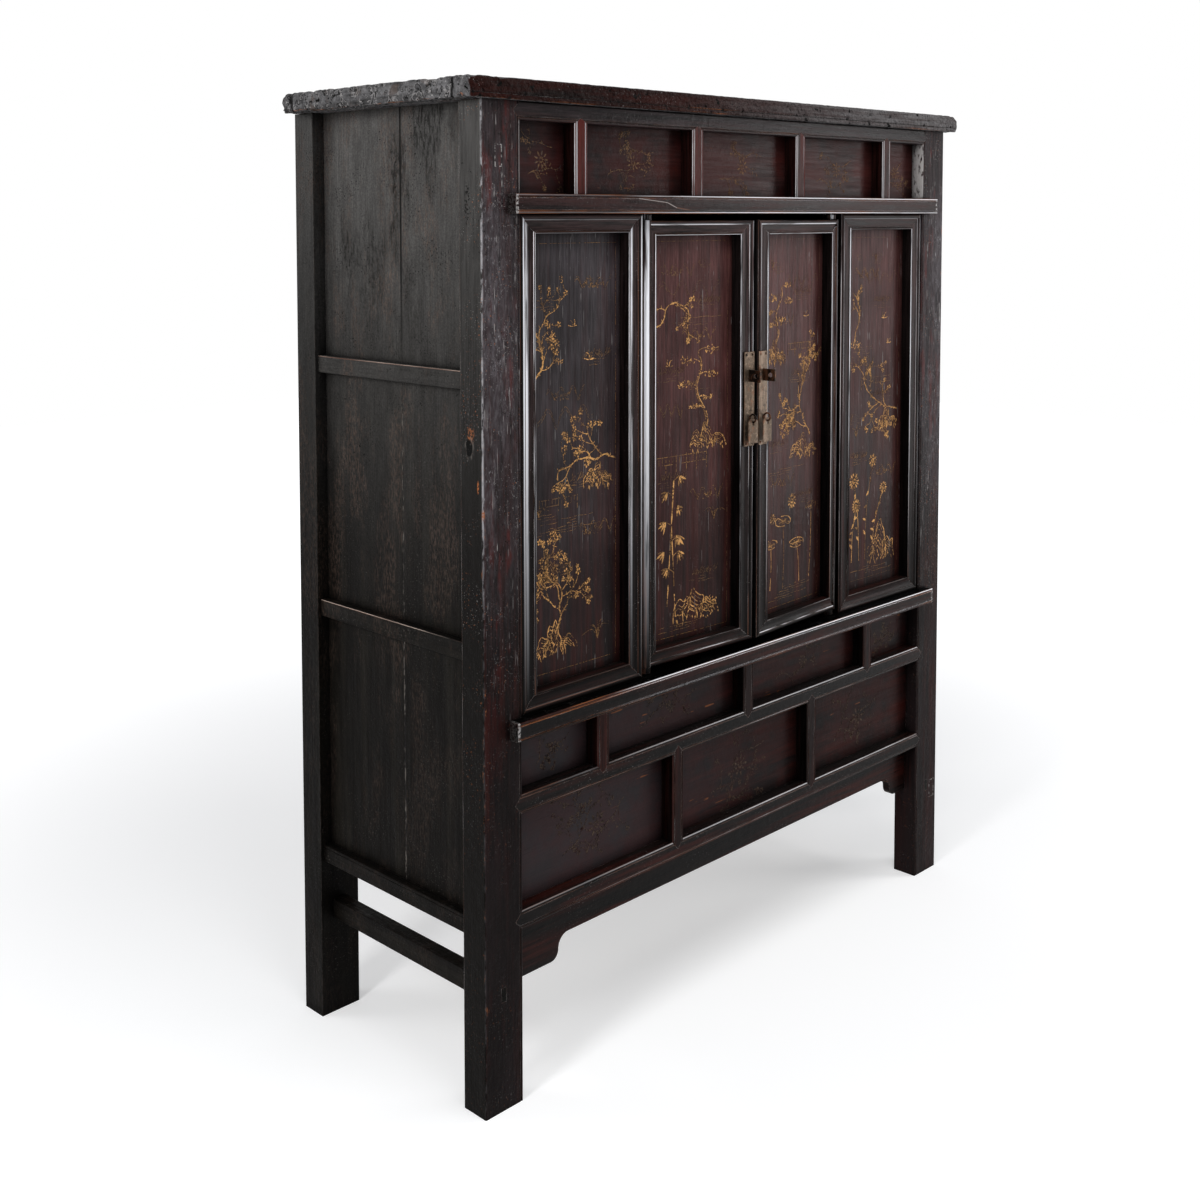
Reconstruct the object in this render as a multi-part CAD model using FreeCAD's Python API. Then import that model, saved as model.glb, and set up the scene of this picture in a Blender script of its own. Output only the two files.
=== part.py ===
import FreeCAD, Part
import math
import os

from FreeCAD import Vector

# Chinese wedding cabinet, in millimetres. X runs left to right, Y from front to back, Z up from the floor.
# Pieces are laid out from the front faces of the posts, Y = 0, and set about the origin at the very end.

# Overall, with the front's heights from the floor up
carcass_width = 1507.0
carcass_depth = 552.0
leg_height = 323.0
bottom_rail_height = 34.0
lower_row_height = 180.0
middle_rail_height = 35.0
middle_row_height = 107.8
door_rail_height = 35.2
door_opening_height = 908.5
upper_row_height = 130.3
head_rail_height = 33.0

# Posts
post_width = 92.0
post_depth = 58.0
post_tenon_width = 40.0
post_tenon_thickness = 14.0
post_tenon_height = 16.0

# Top
top_thickness = 38.0
top_side_overhang = 42.0
top_front_overhang = 17.0
top_back_inset = 6.0
top_rail_width = 45.0
top_end_width = 90.0
top_edge_round = 6.0
top_bead = 9.0
top_board_count = 3
top_board_thickness = 20.0
top_tongue = 8.0
top_tongue_thickness = 10.0
top_batten_width = 45.0
top_batten_gap = 2.0

# Front framing, shared by rails and uprights
rail_depth = 54.0
bead = 5.0
quirk = 1.5
relief = 2.0
arris = 3.0
shoulder_depth = 12.0
tenon_length = 24.0
tenon_thickness = 12.0
tenon_setback = 15.0
tenon_cheek = 6.0
upper_tenon_length = 16.0
door_rail_projection = 22.6
door_rail_inset = 62.0
upright_width = 33.0
upper_point_rise = 9.0

# Where the uprights, battens, joists and muntins stand, as shares of the way from the middle to a post
upper_upright_shares = (-0.765, -0.26, 0.26, 0.765)
middle_upright_shares = (-0.676, 0, 0.676)
lower_upright_shares = (-0.345, 0.345)
top_batten_share = 0.378
joist_inner_share = 0.257
joist_outer_share = 0.786
back_muntin_share = 0.355

# Small front panels
panel_recess = 30.0
panel_thickness = 9.0
panel_tongue = 6.0

# Apron
apron_recess = 32.0
apron_thickness = 18.0
apron_height = 66.0
spandrel_height = 112.0
left_spandrel_width = 123.0
right_spandrel_width = 66.0
spandrel_nose_radius = 20.0

# Sides
side_rail_recess = 8.0
side_rail_depth = 38.0
side_rail_height = 34.0
side_upper_rail_drop = 277.5
side_lower_rail_rise = 142.0
side_bottom_rail_drop = 3.0
side_tenon_length = 24.0
side_tenon_thickness = 12.0
side_panel_recess = 27.0
side_panel_thickness = 12.0
side_front_board_width = 197.0
stretcher_drop = 88.0
stretcher_height = 38.0
stretcher_recess = 30.0
stretcher_thickness = 30.0

# Back
back_frame_depth = 40.0
back_frame_inset = 6.0
back_rail_height = 35.0
back_muntin_width = 35.0
back_panel_setback = 18.0
back_panel_thickness = 8.0
back_tenon_length = 12.0
back_tenon_thickness = 12.0

# Leaves: the two fixed ones and the two doors share a thickness and a moulding
leaf_setback = 2.0
leaf_thickness = 38.0
leaf_edge_gap = 2.0
leaf_stile_width = 39.0
leaf_rail_height = 36.0
leaf_outer_bead_share = 0.33
leaf_inner_bead_share = 0.13
leaf_quirk_share = 0.04
leaf_hollow = 1.2
leaf_relief = 2.5
leaf_panel_recess = 26.0
leaf_panel_thickness = 8.0
leaf_panel_tongue = 6.0
leaf_tongue_up = 8.0
leaf_tongue_down = 5.0
leaf_tongue_thickness = 14.0
leaf_tenon_start_share = 0.4
leaf_tenon_thickness = 10.0

# Doors
door_hinge_gap = 4.0
door_centre_gap = 5.0
door_bottom_gap = 15.0
door_top_gap = 12.5
hinge_stile_width = 36.0
meeting_stile_width = 41.0
door_rail_width = 30.0
pivot_post_radius = 14.0
pivot_post_gap = 2.0
pintle_radius = 9.0
pintle_length = 14.0
pintle_clearance = 0.08
pintle_end_gap = 0.3
batten_height = 28.0
batten_thickness = 10.0
batten_tenon = 6.0
batten_offset = 230.0
left_door_ajar = 2.7
right_door_ajar = 3.7

# Brass on each meeting stile
plate_width = 31.0
plate_thickness = 1.6
plate_height = 197.0
plate_rise = 425.0
plate_edge_inset = 0.5
lug_drop = 37.0
lug_height = 25.0
lug_reach = 30.0
lug_thickness = 4.0
lug_hole_radius = 5.0
lug_hole_share = 0.62
lug_tang_height = 14.0
lug_tang_length = 12.0
staple_rise = 59.0
staple_radius = 8.0
staple_wire_radius = 1.9
staple_standoff = 10.0
staple_shank_radius = 2.2
staple_shank_length = 22.0
nail_head_radius = 3.2
nail_head_height = 1.3
nail_shank_radius = 1.1
nail_length = 14.0
nail_inset = 6.0
pull_width = 30.0
pull_height = 50.0
pull_thickness = 2.4
pull_corner = 5.0
pull_bridge = 3.6
pull_slot_width = 6.4
pull_slot_height = 9.6
pull_clearance = 0.3

# Inside
floor_drop = 4.0
floor_board_thickness = 16.0
joist_width = 40.0
joist_height = 30.0
joist_housing = 6.0
ledger_width = 24.0
ledger_tenon = 12.0
lid_clearance = 1.5
lid_seat_gap = 0.3
lid_finger_hole_radius = 14.0
lid_finger_hole_inset = 45.0
well_board_count = 7
well_board_thickness = 14.0
well_ledger_width = 18.0
well_ledger_height = 22.0
shelf_rise = 453.0
shelf_thickness = 20.0
shelf_setback = 110.0
shelf_board_count = 3
bearer_height = 35.0
shelf_rail_width = 35.0

# Cuts run past the faces they break through by this much
overrun = 2.0

# Heights worked out from the sizes above
bottom_rail_top = leg_height + bottom_rail_height
middle_rail_bottom = bottom_rail_top + lower_row_height
middle_rail_top = middle_rail_bottom + middle_rail_height
lower_rail_bottom = middle_rail_top + middle_row_height
lower_rail_top = lower_rail_bottom + door_rail_height
upper_rail_bottom = lower_rail_top + door_opening_height
upper_rail_top = upper_rail_bottom + door_rail_height
head_rail_bottom = upper_rail_top + upper_row_height
post_height = head_rail_bottom + head_rail_height
apron_straight_bottom = leg_height - apron_height
spandrel_bottom = leg_height - spandrel_height
side_upper_rail_top = upper_rail_bottom - side_upper_rail_drop
side_lower_rail_top = lower_rail_top + side_lower_rail_rise
side_bottom_rail_top = bottom_rail_top - side_bottom_rail_drop
stretcher_top = leg_height - stretcher_drop
door_bottom = lower_rail_top + door_bottom_gap
door_top = upper_rail_bottom - door_top_gap
floor_top = lower_rail_top - floor_drop
joist_top = floor_top - floor_board_thickness
well_board_bottom = bottom_rail_top - well_board_thickness
shelf_top = lower_rail_top + shelf_rise
bearer_top = shelf_top - shelf_thickness
plate_bottom = lower_rail_top + plate_rise
plate_top = plate_bottom + plate_height
lug_top = plate_top - lug_drop
staple_height = plate_bottom + staple_rise

# Other places worked out from the sizes above
half_width = carcass_width / 2
post_inner = half_width - post_width
back_post_front = carcass_depth - post_depth
top_front = -top_front_overhang
top_back = carcass_depth - top_back_inset
top_half_width = half_width + top_side_overhang
top_batten_offset = post_inner * top_batten_share
side_panel_outer = half_width - side_panel_recess
side_panel_inner = side_panel_outer - side_panel_thickness
side_rail_outer = half_width - side_rail_recess
side_rail_inner = side_rail_outer - side_rail_depth
back_frame_back = carcass_depth - back_frame_inset
back_frame_front = back_frame_back - back_frame_depth
back_panel_front = back_frame_front + back_panel_setback
back_muntin_inner = post_inner * back_muntin_share - back_muntin_width / 2
back_muntin_outer = back_muntin_inner + back_muntin_width
joist_inner_offset = post_inner * joist_inner_share
joist_outer_offset = post_inner * joist_outer_share
leaf_outer = post_inner - leaf_edge_gap
leaf_width = (leaf_outer - door_hinge_gap - door_centre_gap / 2) / 2
leaf_inner = leaf_outer - leaf_width
door_outer = leaf_inner - door_hinge_gap
door_free = door_centre_gap / 2
hinge_radius = leaf_thickness / 2
pivot_x = door_outer - hinge_radius
pivot_y = leaf_setback + hinge_radius
plate_middle = door_free + plate_edge_inset + plate_width / 2
plate_front = leaf_setback - plate_thickness
staple_y = plate_front - staple_standoff
bridge_swing = math.hypot(pull_bridge / 2, pull_thickness / 2)
pull_pivot_z = staple_height - (staple_radius - staple_wire_radius - bridge_swing - pull_clearance)


def block(x_low, x_high, y_low, y_high, z_low, z_high):
    """A plain rectangular piece between two corners."""
    corner = Vector(x_low, y_low, z_low)
    return Part.makeBox(x_high - x_low, y_high - y_low, z_high - z_low, corner)


def line(start, end):
    return Part.LineSegment(start, end).toShape()


def arc(start, through, end):
    return Part.Arc(start, through, end).toShape()


def mirrored(shape):
    """The same piece on the other side of the cabinet's middle plane."""
    return shape.mirror(Vector(0, 0, 0), Vector(1, 0, 0))


def both_sides(shape):
    return [shape, mirrored(shape)]


def prism(outline, depth):
    """A flat outline of (x, z) points at one y, carried back by depth. outline is a list of vectors."""
    return Part.Face(Part.makePolygon(outline + outline[:1])).extrude(Vector(0, depth, 0))


def upright_section(x_low, y_front, z_low):
    """Places a bar's section for a bar that stands: width along X, depth along Y."""
    return lambda across, deep: Vector(x_low + across, y_front + deep, z_low)


def level_section(x_low, y_front, z_low):
    """Places a bar's section for a bar along X: width along Z, depth along Y."""
    return lambda across, deep: Vector(x_low, y_front + deep, z_low + across)


def left_side_section(x_outer, y_low, z_low):
    """Places a bar's section for a bar along Y in the left side: width along Z, depth inwards along X."""
    return lambda across, deep: Vector(x_outer + deep, y_low, z_low + across)


def edge_of_bar(at, width, first, level, size, drop, gap):
    """The edges of one long edge of a bar: a bead with its quirk, or a small round where size is 0.

    The edges run from the side of the bar to its face. first says which of the two long edges it is."""
    def point(across, deep):
        return at(across if first else width - across, deep)

    if size > 0:
        crown = arc(point(0, drop), point(size / 2, 0), point(size, drop))
        return [crown, line(point(size, drop), point(size + gap, level))], point(0, drop), size + gap
    turn = arris * (1 - math.sqrt(0.5))
    rounding = arc(point(0, level + arris), point(turn, level + turn), point(arris, level))
    return [rounding], point(0, level + arris), arris


def moulded(at, run, width, depth, first_bead, last_bead, level=0.0, drop=relief, hollow=0.0, gap=quirk):
    """A bar with a bead or a small round along each edge of its face, its section swept along run."""
    first_edges, first_side, first_end = edge_of_bar(at, width, True, level, first_bead, drop, gap)
    last_edges, last_side, last_end = edge_of_bar(at, width, False, level, last_bead, drop, gap)
    face_start = at(first_end, level)
    face_end = at(width - last_end, level)
    if hollow > 0:
        face = arc(face_start, at((first_end + width - last_end) / 2, level + hollow), face_end)
    else:
        face = line(face_start, face_end)
    back_first = at(0, depth)
    back_last = at(width, depth)
    sides = [line(back_last, back_first), line(back_first, first_side), line(last_side, back_last)]
    outline = Part.Wire(Part.__sortEdges__(sides + first_edges + [face] + last_edges))
    return Part.Face(outline).extrude(run)


def shoulder_point(base_start, base_end, tip):
    """The pointed end of a bar's face: a triangle from the face back to the depth of the shoulder."""
    ahead = Vector(0, -overrun, 0)
    return prism([base_start + ahead, base_end + ahead, tip + ahead], shoulder_depth + overrun)


def upright_points(middle, ends, rises):
    """The points at the lower and the upper end of an upright, of those ends that have one."""
    points = []
    for z_end, rise in ((ends[0], -rises[0]), (ends[1], rises[1])):
        if rise:
            points.append(shoulder_point(Vector(middle - upright_width / 2, 0, z_end),
                                         Vector(middle + upright_width / 2, 0, z_end),
                                         Vector(middle, 0, z_end + rise)))
    return points


def upright(middle, ends, rises, tenons):
    """An upright of the front frame: its face ends in points, and tenons stand behind them."""
    x_low = middle - upright_width / 2
    x_high = middle + upright_width / 2
    run = Vector(0, 0, ends[1] - ends[0] + rises[0] + rises[1])
    bar = moulded(upright_section(x_low, 0, ends[0] - rises[0]), run, upright_width, rail_depth, bead, bead)
    body = block(x_low, x_high, 0, rail_depth, ends[0], ends[1])
    bar = bar.common(body.fuse(upright_points(middle, ends, rises)))
    tenon = block(x_low + tenon_cheek, x_high - tenon_cheek, tenon_setback, tenon_setback + tenon_thickness,
                  ends[0] - tenons[0], ends[1] + tenons[1])
    return bar.fuse(tenon).removeSplitter()


def rail_points(z_low, height):
    """The points at both ends of a front rail, which are let into the faces of the posts."""
    points = []
    for side in (-1, 1):
        points.append(shoulder_point(Vector(side * post_inner, 0, z_low),
                                     Vector(side * post_inner, 0, z_low + height),
                                     Vector(side * (post_inner + height / 2), 0, z_low + height / 2)))
    return points


def pointed_rail(z_low, height, low_bead, high_bead):
    """A rail of the front frame between the posts, with pointed ends on its face and tenons behind."""
    reach = post_inner + height / 2
    at = level_section(-reach, 0, z_low)
    bar = moulded(at, Vector(2 * reach, 0, 0), height, rail_depth, low_bead, high_bead)
    body = block(-post_inner, post_inner, 0, rail_depth, z_low, z_low + height)
    bar = bar.common(body.fuse(rail_points(z_low, height)))
    return bar.fuse(front_tenon(z_low, z_low + height)).removeSplitter()


def front_tenon(z_low, z_high):
    """One block that runs through a front rail and stands out of both its ends as tenons."""
    reach = post_inner + tenon_length
    return block(-reach, reach, tenon_setback, tenon_setback + tenon_thickness,
                 z_low + tenon_cheek, z_high - tenon_cheek)


def projecting_rail(z_high):
    """A rail that carries the door pivots. It stands proud and laps over the faces of both posts."""
    z_low = z_high - door_rail_height
    reach = half_width - door_rail_inset
    at = level_section(-reach, -door_rail_projection, z_low)
    depth = door_rail_projection + rail_depth
    bar = moulded(at, Vector(2 * reach, 0, 0), door_rail_height, depth, bead, bead, hollow=relief / 2)
    posts = both_sides(block(-half_width, -post_inner, 0, carcass_depth, z_low - overrun, z_high + overrun))
    return bar.cut(posts).fuse(front_tenon(z_low, z_high)).removeSplitter()


# Rails with pointed ends: node, lower edge, height, and the beads of the lower and the upper edge
pointed_rails = (
    ("head_rail", head_rail_bottom, head_rail_height, bead, 0),
    ("middle_rail", middle_rail_bottom, middle_rail_height, bead, bead),
    ("bottom_rail", leg_height, bottom_rail_height, bead, bead),
)

# Rows of uprights: node, places across, heights of the ends, rises of the points and lengths of the tenons
upright_rows = (
    ("upper_uprights", [post_inner * share for share in upper_upright_shares],
     (upper_rail_top, head_rail_bottom), (0, upper_point_rise), (tenon_cheek, upper_tenon_length)),
    ("middle_uprights", [post_inner * share for share in middle_upright_shares],
     (middle_rail_top, lower_rail_bottom), (upright_width / 2, 0), (tenon_cheek, tenon_cheek)),
    ("lower_uprights", [post_inner * share for share in lower_upright_shares],
     (bottom_rail_top, middle_rail_bottom), (upright_width / 2, upright_width / 2), (tenon_cheek, tenon_cheek)),
)


def front_rails():
    rails = {name: pointed_rail(*sizes) for name, *sizes in pointed_rails}
    rails["upper_door_rail"] = projecting_rail(upper_rail_top)
    rails["lower_door_rail"] = projecting_rail(lower_rail_top)
    return rails


def front_uprights():
    """The uprights of the three rows of small panels, each row a list."""
    return {name: [upright(middle, *sizes) for middle in places] for name, places, *sizes in upright_rows}


def front_points():
    """All the points on the front, as what they take out of the pieces that they are let into."""
    posts = sum([rail_points(z_low, height) for name, z_low, height, *beads in pointed_rails], [])
    rails = [point for name, places, ends, rises, tenons in upright_rows
             for middle in places for point in upright_points(middle, ends, rises)]
    return posts, rails


def panel_row(offsets, z_low, z_high):
    """The panels of a row, one between each two uprights, with tongues all round."""
    centres = [-post_inner - upright_width / 2] + offsets + [post_inner + upright_width / 2]
    panels = []
    for left, right in zip(centres, centres[1:]):
        x_low = left + upright_width / 2 - panel_tongue
        x_high = right - upright_width / 2 + panel_tongue
        panels.append(block(x_low, x_high, panel_recess, panel_recess + panel_thickness,
                            z_low - panel_tongue, z_high + panel_tongue))
    return panels


def front_panels():
    return {name.replace("uprights", "panels"): panel_row(places, *ends)
            for name, places, ends, rises, tenons in upright_rows}


def apron_step(width):
    """The lower edge of the apron at the left post, from the post to the straight part, and its end."""
    reach = post_inner + panel_tongue
    nose = spandrel_nose_radius
    cove = apron_straight_bottom - spandrel_bottom - nose
    diagonal = math.sqrt(0.5)
    nose_x = -post_inner + width - nose
    nose_z = spandrel_bottom + nose

    def at(x, z):
        return Vector(x, apron_recess, z)

    corner = at(nose_x + nose, nose_z)
    end = at(nose_x + nose + cove, apron_straight_bottom)
    edges = [
        line(at(-reach, leg_height + panel_tongue), at(-reach, spandrel_bottom)),
        line(at(-reach, spandrel_bottom), at(nose_x, spandrel_bottom)),
        arc(at(nose_x, spandrel_bottom), at(nose_x + nose * diagonal, nose_z - nose * diagonal), corner),
        arc(corner, at(end.x - cove * diagonal, nose_z + cove * diagonal), end),
    ]
    return edges, end


def apron():
    """The board under the bottom rail. Its lower edge steps down to a rounded spandrel at each post."""
    left, left_end = apron_step(left_spandrel_width)
    right, right_end = apron_step(right_spandrel_width)
    right = [mirrored(edge) for edge in right]
    right_end = Vector(-right_end.x, right_end.y, right_end.z)
    reach = post_inner + panel_tongue
    top = leg_height + panel_tongue
    outline = left + right + [line(left_end, right_end)]
    outline.append(line(Vector(-reach, apron_recess, top), Vector(reach, apron_recess, top)))
    return Part.Face(Part.Wire(Part.__sortEdges__(outline))).extrude(Vector(0, apron_thickness, 0))


def left_front_post():
    at = upright_section(-half_width, 0, 0)
    post = moulded(at, Vector(0, 0, post_height), post_width, post_depth, 0, bead)
    return post.fuse(post_top_tenon(top_front, top_front + top_rail_width, 0, post_depth)).removeSplitter()


def left_back_post():
    post = block(-half_width, -post_inner, back_post_front, carcass_depth, 0, post_height)
    tenon = post_top_tenon(top_back - top_rail_width, top_back, back_post_front, carcass_depth)
    return post.fuse(tenon).removeSplitter()


def post_top_tenon(rail_front, rail_back, post_front, post_back):
    """The tenon on a left post's head, in the middle of the depth that the post and the top's rail share."""
    middle = (max(rail_front, post_front) + min(rail_back, post_back)) / 2
    x_middle = -half_width + post_width / 2
    return block(x_middle - post_tenon_width / 2, x_middle + post_tenon_width / 2,
                 middle - post_tenon_thickness / 2, middle + post_tenon_thickness / 2,
                 post_height - overrun, post_height + post_tenon_height)


def top_front_rail():
    """The front edge of the top: rounded above, a groove and a bead along its lower edge."""
    top = post_height + top_thickness
    front = top_front
    back = top_front + top_rail_width
    turn = top_edge_round * (1 - math.sqrt(0.5))

    def at(y, z):
        return Vector(-top_half_width, y, z)

    outline = [
        line(at(back, post_height), at(back, top)),
        line(at(back, top), at(front + top_edge_round, top)),
        arc(at(front + top_edge_round, top), at(front + turn, top - turn), at(front, top - top_edge_round)),
        line(at(front, top - top_edge_round), at(front, post_height + top_bead + quirk)),
        line(at(front, post_height + top_bead + quirk), at(front + relief, post_height + top_bead)),
        arc(at(front + relief, post_height + top_bead), at(front, post_height + top_bead / 2),
            at(front + relief, post_height)),
        line(at(front + relief, post_height), at(back, post_height)),
    ]
    return Part.Face(Part.Wire(outline)).extrude(Vector(2 * top_half_width, 0, 0))


def top_back_rail():
    rail = block(-top_half_width, top_half_width, top_back - top_rail_width, top_back,
                 post_height, post_height + top_thickness)
    edges = [edge for edge in rail.Edges if min(v.Y for v in edge.Vertexes) > top_back - quirk
             and min(v.Z for v in edge.Vertexes) > post_height + quirk]
    return rail.makeFillet(top_edge_round, edges)


def top_pieces():
    """The top: two long rails, two end rails between them, boards in their grooves, battens beneath."""
    z_top = post_height + top_thickness
    inner_front = top_front + top_rail_width
    inner_back = top_back - top_rail_width
    inner_x = top_half_width - top_end_width
    end = block(-top_half_width, -inner_x, inner_front, inner_back, post_height, z_top)
    tenon = block(-top_half_width + tenon_cheek, -inner_x - tenon_cheek,
                  inner_front - tenon_length, inner_back + tenon_length,
                  post_height + tenon_cheek, post_height + tenon_cheek + tenon_thickness)
    end = end.fuse(tenon).removeSplitter()
    board_bottom = z_top - top_board_thickness
    boards = []
    width = (inner_back - inner_front) / top_board_count
    for index in range(top_board_count):
        front = inner_front + index * width
        back = front + width
        board = block(-inner_x, inner_x, front, back, board_bottom, z_top)
        front_tongue = top_tongue if index == 0 else 0
        back_tongue = top_tongue if index == top_board_count - 1 else 0
        tongue = block(-inner_x - top_tongue, inner_x + top_tongue, front - front_tongue, back + back_tongue,
                       board_bottom, board_bottom + top_tongue_thickness)
        boards.append(board.fuse(tongue).removeSplitter())
    batten = block(top_batten_offset - top_batten_width / 2, top_batten_offset + top_batten_width / 2,
                   inner_front - top_tongue, inner_back + top_tongue,
                   post_height + top_batten_gap, board_bottom)
    return {"ends": both_sides(end), "boards": boards, "battens": both_sides(batten)}


def left_side_rails():
    """The three rails of the left side, with a bead along the top of the lowest one."""
    rails = []
    for top, edge in ((side_upper_rail_top, 0), (side_lower_rail_top, 0), (side_bottom_rail_top, bead)):
        at = left_side_section(-side_rail_outer, post_depth, top - side_rail_height)
        run = Vector(0, back_post_front - post_depth, 0)
        rail = moulded(at, run, side_rail_height, side_rail_depth, 0, edge)
        middle = -side_rail_outer + side_rail_depth / 2
        tenon = block(middle - side_tenon_thickness / 2, middle + side_tenon_thickness / 2,
                      post_depth - side_tenon_length, back_post_front + side_tenon_length,
                      top - side_rail_height + tenon_cheek, top - tenon_cheek)
        rails.append(rail.fuse(tenon).removeSplitter())
    return rails


def left_stretcher():
    """The low stretcher between two legs. Its tenons go right through and show on the posts' faces."""
    outer = -half_width + stretcher_recess
    inner = outer + stretcher_thickness
    bottom = stretcher_top - stretcher_height
    middle = (outer + inner) / 2
    bar = block(outer, inner, post_depth, back_post_front, bottom, stretcher_top)
    tenon = block(middle - side_tenon_thickness / 2, middle + side_tenon_thickness / 2, 0, carcass_depth,
                  bottom + tenon_cheek, stretcher_top - tenon_cheek)
    return bar.fuse(tenon).removeSplitter()


def left_side_boards():
    """Two upright boards in each of the three fields of the left side."""
    fields = ((side_bottom_rail_top, side_lower_rail_top - side_rail_height),
              (side_lower_rail_top, side_upper_rail_top - side_rail_height),
              (side_upper_rail_top, post_height))
    joint = post_depth + side_front_board_width
    ends = (post_depth - panel_tongue, joint, back_post_front + panel_tongue)
    boards = []
    for low, high in fields:
        for front, back in zip(ends, ends[1:]):
            boards.append(block(-side_panel_outer, -side_panel_inner, front, back,
                                low - panel_tongue, high + panel_tongue))
    return boards


def back_levels():
    """The tops of the back rails, from the bottom up."""
    return [well_board_bottom, joist_top, bearer_top, post_height]


def back_frame():
    """The rails and muntins of the back, which stand between the back posts."""
    rails = []
    tenon_front = back_frame_back - tenon_cheek - back_tenon_thickness
    for top in back_levels():
        low = top - back_rail_height
        rail = block(-post_inner, post_inner, back_frame_front, back_frame_back, low, top)
        tenon = block(-post_inner - tenon_length, post_inner + tenon_length,
                      tenon_front, tenon_front + back_tenon_thickness, low + tenon_cheek, top - tenon_cheek)
        rails.append(rail.fuse(tenon).removeSplitter())
    muntins = []
    levels = back_levels()
    for below, above in zip(levels, levels[1:]):
        low = below
        high = above - back_rail_height
        muntin = block(back_muntin_inner, back_muntin_outer, back_frame_front, back_frame_back, low, high)
        tenon = block(back_muntin_inner + tenon_cheek, back_muntin_outer - tenon_cheek,
                      tenon_front, tenon_front + back_tenon_thickness,
                      low - back_tenon_length, high + back_tenon_length)
        muntins += both_sides(muntin.fuse(tenon).removeSplitter())
    return rails, muntins


def back_panels():
    edges = (-post_inner, -back_muntin_outer, -back_muntin_inner,
             back_muntin_inner, back_muntin_outer, post_inner)
    levels = back_levels()
    panels = []
    for below, above in zip(levels, levels[1:]):
        for x_low, x_high in zip(edges[::2], edges[1::2]):
            panels.append(block(x_low - panel_tongue, x_high + panel_tongue,
                                back_panel_front, back_panel_front + back_panel_thickness,
                                below - panel_tongue, above - back_rail_height + panel_tongue))
    return panels


def leaf_bar(at, run, width, first_share, last_share):
    """A bar of a leaf's frame: a bead along each edge, a quirk beside each and a shallow hollow between."""
    return moulded(at, run, width, leaf_thickness, width * first_share, width * last_share,
                   level=leaf_relief, drop=leaf_relief, hollow=leaf_hollow, gap=width * leaf_quirk_share)


def hinge_bar(x_low, z_low, z_high):
    """The bar of the left door's hinge stile: its outer edge is a half round about the pivot."""
    at = upright_section(x_low, leaf_setback, z_low)
    width = hinge_stile_width
    inner_bead = width * leaf_inner_bead_share
    inner = width - inner_bead
    outline = Part.Wire([
        line(at(width, leaf_thickness), at(hinge_radius, leaf_thickness)),
        arc(at(hinge_radius, leaf_thickness), at(0, hinge_radius), at(hinge_radius, 0)),
        line(at(hinge_radius, 0), at(hinge_radius + quirk, leaf_relief)),
        line(at(hinge_radius + quirk, leaf_relief), at(inner - quirk, leaf_relief)),
        line(at(inner - quirk, leaf_relief), at(inner, leaf_relief)),
        arc(at(inner, leaf_relief), at(inner + inner_bead / 2, 0), at(width, leaf_relief)),
        line(at(width, leaf_relief), at(width, leaf_thickness)),
    ])
    return Part.Face(outline).extrude(Vector(0, 0, z_high - z_low))


def mitre_fields(x_ends, z_ends, stiles, rail):
    """The four wedges that a mitred frame is cut to: left, right, lower and upper.

    x_ends and z_ends are its outer edges, stiles the widths of the two stiles and rail that of the rails."""
    inner_x = (x_ends[0] + stiles[0], x_ends[1] - stiles[1])
    inner_z = (z_ends[0] + rail, z_ends[1] - rail)

    def field(*corners):
        return prism([Vector(x, leaf_setback, z) for x, z in corners], leaf_thickness)

    left, right = [field((x_ends[i], z_ends[0]), (inner_x[i], inner_z[0]), (inner_x[i], inner_z[1]),
                         (x_ends[i], z_ends[1])) for i in (0, 1)]
    lower, upper = [field((x_ends[0], z_ends[i]), (inner_x[0], inner_z[i]), (inner_x[1], inner_z[i]),
                          (x_ends[1], z_ends[i])) for i in (0, 1)]
    return left, right, lower, upper


def frame_rails(x_ends, z_ends, stiles, rail, fields):
    """The lower and the upper rail of a mitred frame, cut to their fields, and the tenons of both."""
    run = Vector(x_ends[1] - x_ends[0], 0, 0)
    low_at = level_section(x_ends[0], leaf_setback, z_ends[0])
    high_at = level_section(x_ends[0], leaf_setback, z_ends[1] - rail)
    lower = leaf_bar(low_at, run, rail, leaf_outer_bead_share, leaf_inner_bead_share).common(fields[0])
    upper = leaf_bar(high_at, run, rail, leaf_inner_bead_share, leaf_outer_bead_share).common(fields[1])
    tenon_front = leaf_setback + leaf_panel_recess - leaf_tenon_thickness - relief
    tenons = []
    for z_low in (z_ends[0], z_ends[1] - rail):
        tenons.append(block(x_ends[0] + stiles[0] * leaf_tenon_start_share,
                            x_ends[1] - stiles[1] * leaf_tenon_start_share,
                            tenon_front, tenon_front + leaf_tenon_thickness,
                            z_low + tenon_cheek, z_low + rail - tenon_cheek))
    return [lower, upper], tenons


def leaf_panel(x_low, x_high, z_low, z_high):
    """The tall panel of a leaf, between the inner edges given, with its tongues."""
    front = leaf_setback + leaf_panel_recess
    return block(x_low - leaf_panel_tongue, x_high + leaf_panel_tongue, front, front + leaf_panel_thickness,
                 z_low - leaf_panel_tongue, z_high + leaf_panel_tongue)


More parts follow.
